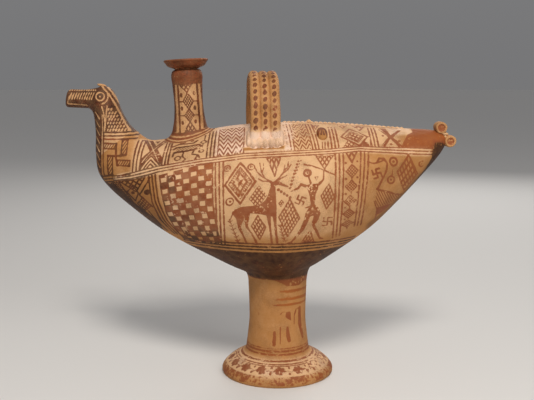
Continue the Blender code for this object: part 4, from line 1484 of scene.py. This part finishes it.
@dataclass(frozen=True)
class SkinPatch:
    """A thin piece of clay pressed on to a shoulder of the body."""

    skin: Skin
    middle: Point
    half: Point
    thickness: float
    square: float
    sides: int = 96
    rings: int = 22
    slope_step: float = 0.0005
    edge_sink: float = 0.0006
    buried: float = 0.0022
    finger_waves: float = 3.2

    def build(
        self,
        name: str,
        side: Side,
        material: Material,
        painting: Callable[[Painting, Array, Array], None],
        marks: float = 0.0,
    ) -> Object:
        """Model the patch as rings from its middle to its edge, laid over the skin.

        Its thickness over the skin is t (1 - r^10)^(1/2), less the finger marks along its low edge.

        Args:
            name: The piece's name.
            side: The shoulder that it is on.
            material: Its finish.
            painting: Paints it, from its places across and down as shares of its half sizes.
            marks: Depth of the finger marks as a share of the thickness.

        Returns:
            The object.
        """
        angle = circle(self.sides)
        share = np.sin(np.linspace(0.02, math.pi / 2, self.rings))[:, None]
        corner = (np.abs(np.cos(angle)) ** self.square + np.abs(np.sin(angle)) ** self.square) ** (
            -1 / self.square
        )
        across, down = share * corner * np.cos(angle), share * corner * np.sin(angle)
        fingers = across * self.finger_waves * 2 * math.pi
        down = down + marks * 0.2 * share * np.clip(down, 0, 1) * np.cos(fingers)
        x = self.middle[0] + self.half[0] * across
        y = side.value * (self.middle[1] + self.half[1] * down)
        z = self.skin.height_at(x, y, True)
        step = self.slope_step
        slope_x = (self.skin.height_at(x + step, y, True) - z) / step
        slope_y = (self.skin.height_at(x, y + step, True) - z) / step
        normal = unit(np.stack([-slope_x, -slope_y, np.ones_like(x)], axis=2))
        low = np.clip(down, 0, 1) ** 2
        pressed = 1 - marks * low * (0.5 - 0.5 * np.cos(fingers))
        thick = self.thickness * np.sqrt(np.clip(1 - share**10, 0, 1)) * pressed
        top = np.stack([x, y, z], axis=2) + normal * (thick - self.edge_sink * share**4)[..., None]
        piece = Piece(name)
        index = piece.grid(top)
        base = np.stack([x[-1], y[-1], z[-1]], axis=1) - normal[-1] * self.buried
        low_ring = piece.grid(base[None])
        piece.quads(np.vstack([index, low_ring]))
        piece.pole(index[0], top[0].mean(axis=0))
        piece.polygon(low_ring[0])
        paint = Painting(piece.count, tone=0.35, slip=0.9, wear=0.3)
        pad = np.zeros(piece.count - across.size)
        painting(paint, np.append(across, pad), np.append(down, pad))
        return piece.finish(paint, material)


@dataclass(frozen=True)
class Crest:
    """The low notched ridge of clay along the back."""

    skin: Skin
    start: float = 0.02185
    end: float = 0.15385
    notches: int = 27
    half_width: float = 0.0026
    tooth: float = 0.0012
    notch: float = 0.0001
    buried: float = 0.0018
    lean: float = 0.0008
    taper: float = 0.002
    least: float = 0.15
    base: float = 0.001
    per_tooth: int = 14
    steps: int = 11

    def build(self, material: Material) -> Object:
        """Model the teeth as rounded bumps: height h = notch + (tooth - notch) |sin|^0.7."""
        x = np.linspace(self.start, self.end, self.notches * self.per_tooth + 1)
        share = (x - self.start) / (self.end - self.start) * self.notches
        rise = self.notch + (self.tooth - self.notch) * np.abs(np.sin(math.pi * share)) ** 0.7
        ends = np.clip(np.minimum(x - self.start, self.end - x) / self.taper, self.least, 1)
        angle = np.linspace(0, math.pi, self.steps)
        across = self.half_width * ends[:, None] * np.cos(angle)
        skin = self.skin.height_at(np.repeat(x[:, None], self.steps, 1), across, True)
        ridge = self.skin.height_at(x, np.zeros_like(x), True)
        height = skin + (rise * ends)[:, None] * np.sin(angle) ** 0.6
        height[:, (0, -1)] = ridge[:, None] - self.buried
        lean = self.lean * np.sin(angle)
        points = np.stack([x[:, None] + lean, across, height], axis=2)
        low = points[:, (0, -1)] - np.array([0, 0, self.base])
        piece = Piece("notched_crest")
        piece.tube(np.concatenate([points, low[:, ::-1]], axis=1))
        return piece.finish(Painting(piece.count, slip=0.85, wear=0.3), material)


@dataclass(frozen=True)
class Pebble:
    """A small rounded lump of clay."""

    name: str
    half: tuple[float, float, float]
    place: tuple[float, float, float]
    tilt: float = 0.0
    uneven: float = 0.0
    slip: float = 0.6

    def build(self, material: Material) -> Object:
        """Model an ellipsoid, tilted about Y, with a slightly uneven surface."""
        turn = circle(36)
        rise = np.linspace(-math.pi / 2, math.pi / 2, 21)[1:-1, None]
        ball = turned(np.hstack([np.cos(rise), np.sin(rise)]), turn)
        bumps = 1 + self.uneven * np.sin(5 * ball[..., 0] + 2) * np.sin(6 * ball[..., 2] + 1)
        local = ball * bumps[..., None] * np.asarray(self.half)
        lean = tilted(self.tilt)
        piece = Piece(self.name)
        index = piece.grid(local @ lean.T + np.asarray(self.place))
        piece.quads(index)
        for row, end in ((0, -1), (-1, 1)):
            tip = np.array([0, 0, end * self.half[2]]) @ lean.T + np.asarray(self.place)
            piece.pole(index[row], tip)
        return piece.finish(Painting(piece.count, slip=self.slip, wear=0.3), material)


@dataclass(frozen=True)
class TailRoll:
    """A short roll of clay across the end of the tail."""

    name: str
    place: Point
    radius: float = 0.0066
    half: float = 0.0085

    def build(self, material: Material) -> Object:
        """Model the roll about Y, with a hollowed face at each end."""
        r, h = self.radius, self.half
        run = smooth_run(
            [(0.04 * r, 0.86 * h), (0.45 * r, 0.88 * h), (0.72 * r, 0.98 * h), (0.90 * r, 0.93 * h),
             (r, 0.66 * h), (0.97 * r, 0.3 * h), (0.97 * r, 0)], 5,
        )
        profile = np.concatenate([run, run[-2::-1] * (1, -1)])
        turn = circle(56)
        wobble = 0.985 + 0.02 * np.sin(3 * turn + 1) + 0.015 * np.sin(5 * turn)
        x = self.place[0] + profile[:, :1] * np.cos(turn) * wobble
        z = self.place[1] + profile[:, :1] * np.sin(turn) * wobble
        y = -np.repeat(profile[:, 1:], len(turn), axis=1)
        piece = Piece(self.name)
        index = piece.grid(np.stack([x, y, z], axis=2))
        piece.quads(index)
        for row in (0, -1):
            piece.pole(index[row], (self.place[0], float(y[row, 0]), self.place[1]))
        painting = Painting(piece.count, tone=0.6, slip=0.3, wear=0.4)
        pad = np.zeros(2)
        canvas = Canvas(painting, np.append(x / MM, pad), np.append(z / MM, pad),
                        np.append(np.abs(y) > 0.5 * h, pad).astype(bool))
        canvas.dot(self.place[0] / MM, self.place[1] / MM, 4.0)
        return piece.finish(painting, material)


# Finishes


class Shade:
    """A value in a shader, whose arithmetic builds the nodes."""

    def __init__(self, graph: Graph, socket: bpy.types.NodeSocket) -> None:
        """A value from an output socket."""
        self.graph, self.socket = graph, socket

    def __add__(self, other: Shade | float) -> Shade:
        """Sum."""
        return self.graph.math("ADD", self, other)

    def __sub__(self, other: Shade | float) -> Shade:
        """Difference."""
        return self.graph.math("SUBTRACT", self, other)

    def __rsub__(self, other: float) -> Shade:
        """Difference from a number."""
        return self.graph.math("SUBTRACT", other, self)

    def __mul__(self, other: Shade | float) -> Shade:
        """Product."""
        return self.graph.math("MULTIPLY", self, other)

    __radd__, __rmul__ = __add__, __mul__

    def over(self, limit: Shade | float, soft: float) -> Shade:
        """1 where this is over a limit and 0 below it, with a soft step."""
        return self.graph.step(self - limit, soft)

    def either(self, other: Shade) -> Shade:
        """The larger of two values."""
        return self.graph.math("MAXIMUM", self, other)

    def off_whole(self) -> Shade:
        """Distance to the nearest whole number."""
        return self.graph.math("ABSOLUTE", self - self.graph.math("ROUND", self))


class Graph:
    """The node tree of a material or of the world."""

    def __init__(self, owner: Material | bpy.types.World) -> None:
        """An empty tree in its owner."""
        owner.use_nodes = True
        self.tree = owner.node_tree
        self.tree.nodes.clear()

    def node(self, kind: str, settings: dict | None = None, inputs: dict | None = None) -> bpy.types.Node:
        """Add a node.

        Args:
            kind: Its type.
            settings: Its own settings.
            inputs: Socket names or numbers, each with a number, a tuple or a Shade.

        Returns:
            The node.
        """
        node = self.tree.nodes.new(kind)
        for key, value in (settings or {}).items():
            setattr(node, key, value)
        for key, value in (inputs or {}).items():
            if isinstance(value, Shade):
                self.tree.links.new(value.socket, node.inputs[key])
            else:
                node.inputs[key].default_value = value
        return node

    def value(
        self, kind: str, settings: dict | None = None, inputs: dict | None = None, output: int | str = 0
    ) -> Shade:
        """Add a node and return one of its outputs."""
        return Shade(self, self.node(kind, settings, inputs).outputs[output])

    def surface(self, shader: str, inputs: dict, target: str = "ShaderNodeOutputMaterial") -> None:
        """Add a shader and lead it to the tree's output."""
        self.node(target, inputs={0: self.value(shader, inputs=inputs)})

    def math(self, operation: str, first: Shade | float, second: Shade | float = 0.0) -> Shade:
        """A Math node's result."""
        return self.value("ShaderNodeMath", {"operation": operation}, {0: first, 1: second})

    def step(self, value: Shade, soft: float) -> Shade:
        """A soft step from 0 to 1 around zero."""
        inputs = {"Value": value, "From Min": -soft, "From Max": soft}
        return self.value("ShaderNodeMapRange", {"interpolation_type": "SMOOTHSTEP"}, inputs)

    def mix(self, factor: Shade | float, first: Shade | Colour, second: Shade | Colour) -> Shade:
        """A blend of two colours."""
        first, second = (c if isinstance(c, Shade) else (*c, 1.0) for c in (first, second))
        return self.value("ShaderNodeMix", {"data_type": "RGBA"}, {0: factor, 6: first, 7: second}, 2)

    def attribute(self, channel: Channel) -> tuple[Shade, ...]:
        """A channel's value, or a pattern's two coordinates and depth."""
        name = {"attribute_name": channel.value}
        if channel not in PATTERNS:
            return (self.value("ShaderNodeAttribute", name, output="Fac"),)
        vector = self.value("ShaderNodeAttribute", name, output="Vector")
        split = self.node("ShaderNodeSeparateXYZ", inputs={0: vector})
        return tuple(Shade(self, output) for output in split.outputs)

    def random(self, first: Shade, second: Shade) -> Shade:
        """A random value from 0 to 1 for each pair of whole numbers."""
        pair = self.value("ShaderNodeCombineXYZ", inputs={0: first, 1: second})
        return self.value("ShaderNodeTexWhiteNoise", inputs={"Vector": pair})

    def noise(self, scale: float, detail: float = 2.0, squash: float = 1.0) -> Shade:
        """Noise over the object's own coordinates, about -0.5 to 0.5."""
        place = self.value("ShaderNodeTexCoord", output="Object")
        if squash != 1.0:
            place = self.value("ShaderNodeMapping", inputs={"Vector": place, "Scale": (1, 1, squash)})
        inputs = {"Vector": place, "Scale": scale, "Detail": detail}
        return self.value("ShaderNodeTexNoise", inputs=inputs) - 0.5

    def bump(self, height: Shade, strength: float, distance: float, below: Shade | None = None) -> Shade:
        """A normal that follows a height's slopes, on top of another normal where one is given."""
        inputs = {"Strength": strength, "Distance": distance, "Height": height}
        return self.value("ShaderNodeBump", inputs=inputs | ({"Normal": below} if below else {}))


def from_srgb(red: int, green: int, blue: int) -> Colour:
    """A linear colour from 8-bit sRGB values."""
    share = np.array([red, green, blue]) / 255
    return tuple(np.where(share <= 0.04045, share / 12.92, ((share + 0.055) / 1.055) ** 2.4).tolist())


@dataclass(frozen=True)
class PaintedClay:
    """Matt fired clay with a pale slip and thin dark brown to orange-brown paint."""

    umber: Colour = from_srgb(54, 28, 15)
    red_brown: Colour = from_srgb(136, 70, 38)
    orange_brown: Colour = from_srgb(160, 88, 30)
    bare: Colour = from_srgb(174, 121, 68)
    cream: Colour = from_srgb(214, 172, 128)
    pale: Colour = from_srgb(230, 198, 174)
    # Colour of real stains in the clay, and of the painted shade that slip below zero gives.
    stain_and_shade: Colour = from_srgb(112, 72, 42)
    line_share: float = 0.22
    soft: float = 0.3

    def painted(self, graph: Graph, wobble: Shade) -> tuple[Shade, Shade]:
        """Where there is paint, and how its tone varies from one check to the next."""
        depth = graph.attribute(Channel.STROKES)[0] + wobble
        strokes = depth.over(0.0, self.soft)
        a, b, depth = graph.attribute(Channel.NET)
        shift = wobble * 0.16
        net = (self.line_share - (a + shift).off_whole()).over(0.0, 0.08)
        net = net.either((self.line_share - (b - shift).off_whole()).over(0.0, 0.08))
        net = net * (depth + wobble).over(0.0, self.soft)
        a, b, depth = graph.attribute(Channel.CHECKS)
        a, b = a + wobble * 0.12, b + wobble * 0.12
        column, row = (graph.math("FLOOR", value) for value in (a, b))
        odd = graph.math("MODULO", column + row, 2.0)
        core = (0.37 - graph.math("ABSOLUTE", a - column - 0.5)).over(0.0, 0.05)
        core = core * (0.36 - graph.math("ABSOLUTE", b - row - 0.5)).over(0.0, 0.05)
        inside = depth.over(0.0, self.soft)
        checks = (1.0 - core * odd) * inside
        a, b, depth = graph.attribute(Channel.ZIGZAG)
        rise = b + a.off_whole() * 2.3 + shift
        zigzag = (0.24 - rise.off_whole()).over(0.0, 0.08) * (depth + wobble).over(0.0, self.soft)
        shift = graph.random(column, row) - 0.45
        return strokes.either(net).either(checks).either(zigzag), shift * inside

    def build(self) -> Material:
        """Make the material."""
        material = bpy.data.materials.new("painted_clay")
        graph = Graph(material)
        fine, broad = graph.noise(900, 3), graph.noise(70, 4)
        wobble = fine * 0.8 + graph.noise(260, 2) * 1.2 + graph.noise(110, 2) * 0.9
        wear = graph.attribute(WEAR)[0]
        flakes = graph.noise(330, 5) * 0.62 + broad * 0.5
        kept = 1.0 - (flakes + wear * 0.31).over(0.19, 0.05)
        cover, shift = self.painted(graph, wobble)
        cover = cover * kept
        thin = cover * (0.9 + graph.noise(140, 4) * 0.55)
        tone = graph.attribute(TONE)[0] + broad * 0.5 + graph.noise(26, 3) * 0.35
        tone = tone + shift * 0.34 + graph.noise(520, 3) * 0.4
        red = graph.mix((tone * 2.0).over(0.5, 0.5), self.umber, self.red_brown)
        paint = graph.mix(tone.over(0.78, 0.3), red, self.orange_brown)
        # How pale the ground is, including the painted light and painted shade that the paintings put into
        # the slip.
        slip = graph.attribute(SLIP)[0] + broad * 0.5 + graph.noise(420, 3) * 0.25
        ground = graph.mix(slip.over(0.42, 0.42), self.bare, self.cream)
        ground = graph.mix(slip.over(0.95, 0.2), ground, self.pale)
        # Slip below zero turns the ground dark brown: painted shade.
        ground = graph.mix((0.0 - slip).over(0.45, 0.45) * 0.7, ground, self.stain_and_shade)
        stained = (graph.noise(38, 6) + graph.noise(1100, 2) * 0.5).over(0.10, 0.14)
        ground = graph.mix(stained * 0.45, ground, self.stain_and_shade)
        colour = graph.mix(thin, ground, paint)
        height = fine * 0.5 + graph.noise(2600, 2) * 0.5 + cover * 0.12
        grain = graph.bump(height, 0.35, 0.0004)
        bump = graph.bump(graph.noise(45, 2, 2.2), 0.5, 0.0012, grain)
        rough = 0.74 - cover * 0.14 + fine * 0.1
        inputs = {"Base Color": colour, "Roughness": rough, "Specular IOR Level": 0.2, "Normal": bump}
        graph.surface("ShaderNodeBsdfPrincipled", inputs)
        return material


@dataclass(frozen=True)
class PlainFloor:
    """A plain pale matt floor."""

    colour: Colour = from_srgb(220, 218, 215)
    roughness: float = 0.85

    def build(self) -> Material:
        """Make the material."""
        material = bpy.data.materials.new("plain_floor")
        inputs = {"Base Color": (*self.colour, 1.0), "Roughness": self.roughness}
        Graph(material).surface("ShaderNodeBsdfPrincipled", inputs)
        return material


@dataclass(frozen=True)
class Studio:
    """Floor, soft light and the camera at the photograph's viewing angle."""

    eye: tuple[float, float, float] = (0.0062, -0.89, 0.3192)
    tilt: float = math.radians(81.9)
    lens: float = 55.28
    sensor: float = 36.0
    horizon: Colour = (0.184, 0.184, 0.188)
    zenith: Colour = (0.270, 0.270, 0.276)

    def area(
        self, name: str, place: Sequence[float], aim: Sequence[float], size: float, power: float,
        colour: Colour,
    ) -> None:
        """A square soft light that shines at a point."""
        light = bpy.data.lights.new(name, "AREA")
        light.size, light.energy, light.color = size, power, colour
        obj = bpy.data.objects.new(name, light)
        away = np.asarray(place, float) - np.asarray(aim, float)
        flat = math.hypot(away[0], away[1])
        obj.location = place
        obj.rotation_euler = (math.atan2(flat, away[2]), 0.0, math.atan2(away[0], -away[1]))
        bpy.context.scene.collection.objects.link(obj)

    def backdrop(self) -> bpy.types.World:
        """Soft surroundings, brighter overhead, that meet the far floor in the same grey."""
        world = bpy.data.worlds.new("studio")
        graph = Graph(world)
        place = graph.value("ShaderNodeTexCoord", output="Generated")
        overhead = graph.value("ShaderNodeSeparateXYZ", inputs={0: place}, output=2).over(0.25, 0.25)
        colour = graph.mix(overhead, self.horizon, self.zenith)
        graph.surface("ShaderNodeBackground", {"Color": colour}, "ShaderNodeOutputWorld")
        return world

    def build(self) -> None:
        """Set the floor, the lights, the world and the camera."""
        scene = bpy.context.scene
        mesh = bpy.data.meshes.new("floor")
        far = 40.0
        corners = [(x, y, 0) for x, y in box(-far, -far, far, far)]
        mesh.from_pydata(corners, [], [(0, 1, 2, 3)])
        mesh.materials.append(PlainFloor().build())
        floor = bpy.data.objects.new("floor", mesh)
        scene.collection.objects.link(floor)
        self.area("key_light", (0.08, -1.28, 1.60), (0.0, 0.0, 0.2), 0.45, 26.5, (1.0, 0.95, 0.89))
        self.area("fill_light", (1.05, -1.35, 0.85), (0.0, 0.0, 0.2), 0.8, 6.0, (1.0, 0.97, 0.93))
        self.area("rear_light", (0.5, 1.6, 1.1), (0.0, 0.0, 0.2), 1.2, 9.5, (1.0, 0.98, 0.95))
        scene.world = self.backdrop()
        data = bpy.data.cameras.new("camera")
        data.lens, data.sensor_width = self.lens, self.sensor
        camera = bpy.data.objects.new("camera", data)
        camera.location, camera.rotation_euler = self.eye, (self.tilt, 0.0, 0.0)
        scene.collection.objects.link(camera)
        scene.camera = camera
        scene.view_settings.view_transform = "Standard"


def bird_parts(skin: Skin) -> tuple[BirdPart, ...]:
    """The bird's three stretches, with finer grids where the painting is finer."""
    front = ((0.0, 1.0, 16), (1.0, 2.0, 140), (2.0, 3.0, 74))
    back = ((3.0, 2.0, 50), (2.0, 1.0, 70), (1.0, 0.0, 10))
    tail = ((0.0, 2.3, 16), (2.3, 5.3, 84), (5.3, 8.4, 140))
    breast = ((8.4, 10.2, 76), (10.2, 12.4, 60))
    neck = ((12.4, 17.5, 130), (17.5, 23.0, 112))
    neck_front = ((0.0, 1.0, 6), (1.0, 2.0, 56), (2.0, 3.0, 66))
    neck_back = ((3.0, 2.0, 48), (2.0, 1.0, 36), (1.0, 0.0, 4))
    return (
        BirdPart("bird_rear", skin, tail, front, back, (False, True)),
        BirdPart("bird_breast", skin, breast, front, back, (True, True), hole_x=-0.0766),
        BirdPart("bird_neck_and_head", skin, neck, neck_front, neck_back, (True, False)),
    )


def paint_pad(painting: Painting, across: Array, down: Array) -> None:
    """Leave the handle's pad bare and pale."""
    painting.values[SLIP][:] = 1.0
    painting.values[WEAR][:] = 0.9


def paint_lug(painting: Painting, across: Array, down: Array) -> None:
    """Dark streaks down the lug inside a dark outline."""
    canvas = Canvas(painting, across * 6, down * 8, np.ones(across.size, bool))
    canvas.fill([(0, -8), (4, -6), (5.4, 0), (5.6, 5), (-5.6, 5), (-5.4, 0), (-4, -6)])
    canvas.lines([[(0.5 * k, -2), (1.3 * k, 8)] for k in (-3.2, 0, 3.2)], 0.9, True)
    painting.values[TONE][:] = 0.28
    painting.values[SLIP][:] = 0.0
    painting.values[WEAR][:] = 0.1


def main() -> None:
    """Build the pieces in order, dress them, and light the scene."""
    logging.basicConfig(level=logging.INFO, format="%(name)s: %(message)s")
    for obj in list(bpy.data.objects):
        bpy.data.objects.remove(obj, do_unlink=True)
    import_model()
    clay, skin = PaintedClay().build(), Skin()
    for part in bird_parts(skin):
        part.build(clay)
    Spout(skin).build(clay)
    Pedestal(skin).build(clay)
    Handle(skin).build(clay)
    for side in Side:
        place = side.name.lower()
        shift = -side.value * 0.0035
        SkinPatch(skin, (0.0009 + shift, 0.0462), (0.0196, 0.0124), 0.0074, 5.0).build(
            f"handle_pad_{place}", side, clay, paint_pad, 0.35
        )
        SkinPatch(skin, (0.0634, 0.0362), (0.0058, 0.0115), 0.0030, 2.2).build(
            f"lug_{place}", side, clay, paint_lug
        )
    Crest(skin).build(clay)
    pellet_x = 0.05135
    Pebble("ridge_pellet", (0.0030, 0.0030, 0.0030), (pellet_x, 0.0, skin.ridge(pellet_x))).build(clay)
    Pebble(
        "crown_tuft", (0.0050, 0.0017, 0.0016), (-0.1714, 0.0, 0.3170), math.radians(12), slip=0.35
    ).build(clay)
    TailRoll("tail_roll_upper", (0.19370, 0.27178)).build(clay)
    TailRoll("tail_roll_lower", (0.20380, 0.25736)).build(clay)
    Pebble(
        "tail_nub", (0.0060, 0.0078, 0.0040), (0.1966, 0.0, 0.2650), math.radians(35), 0.2, 0.75
    ).build(clay)
    Studio().build()


if __name__ == "__main__":
    main()
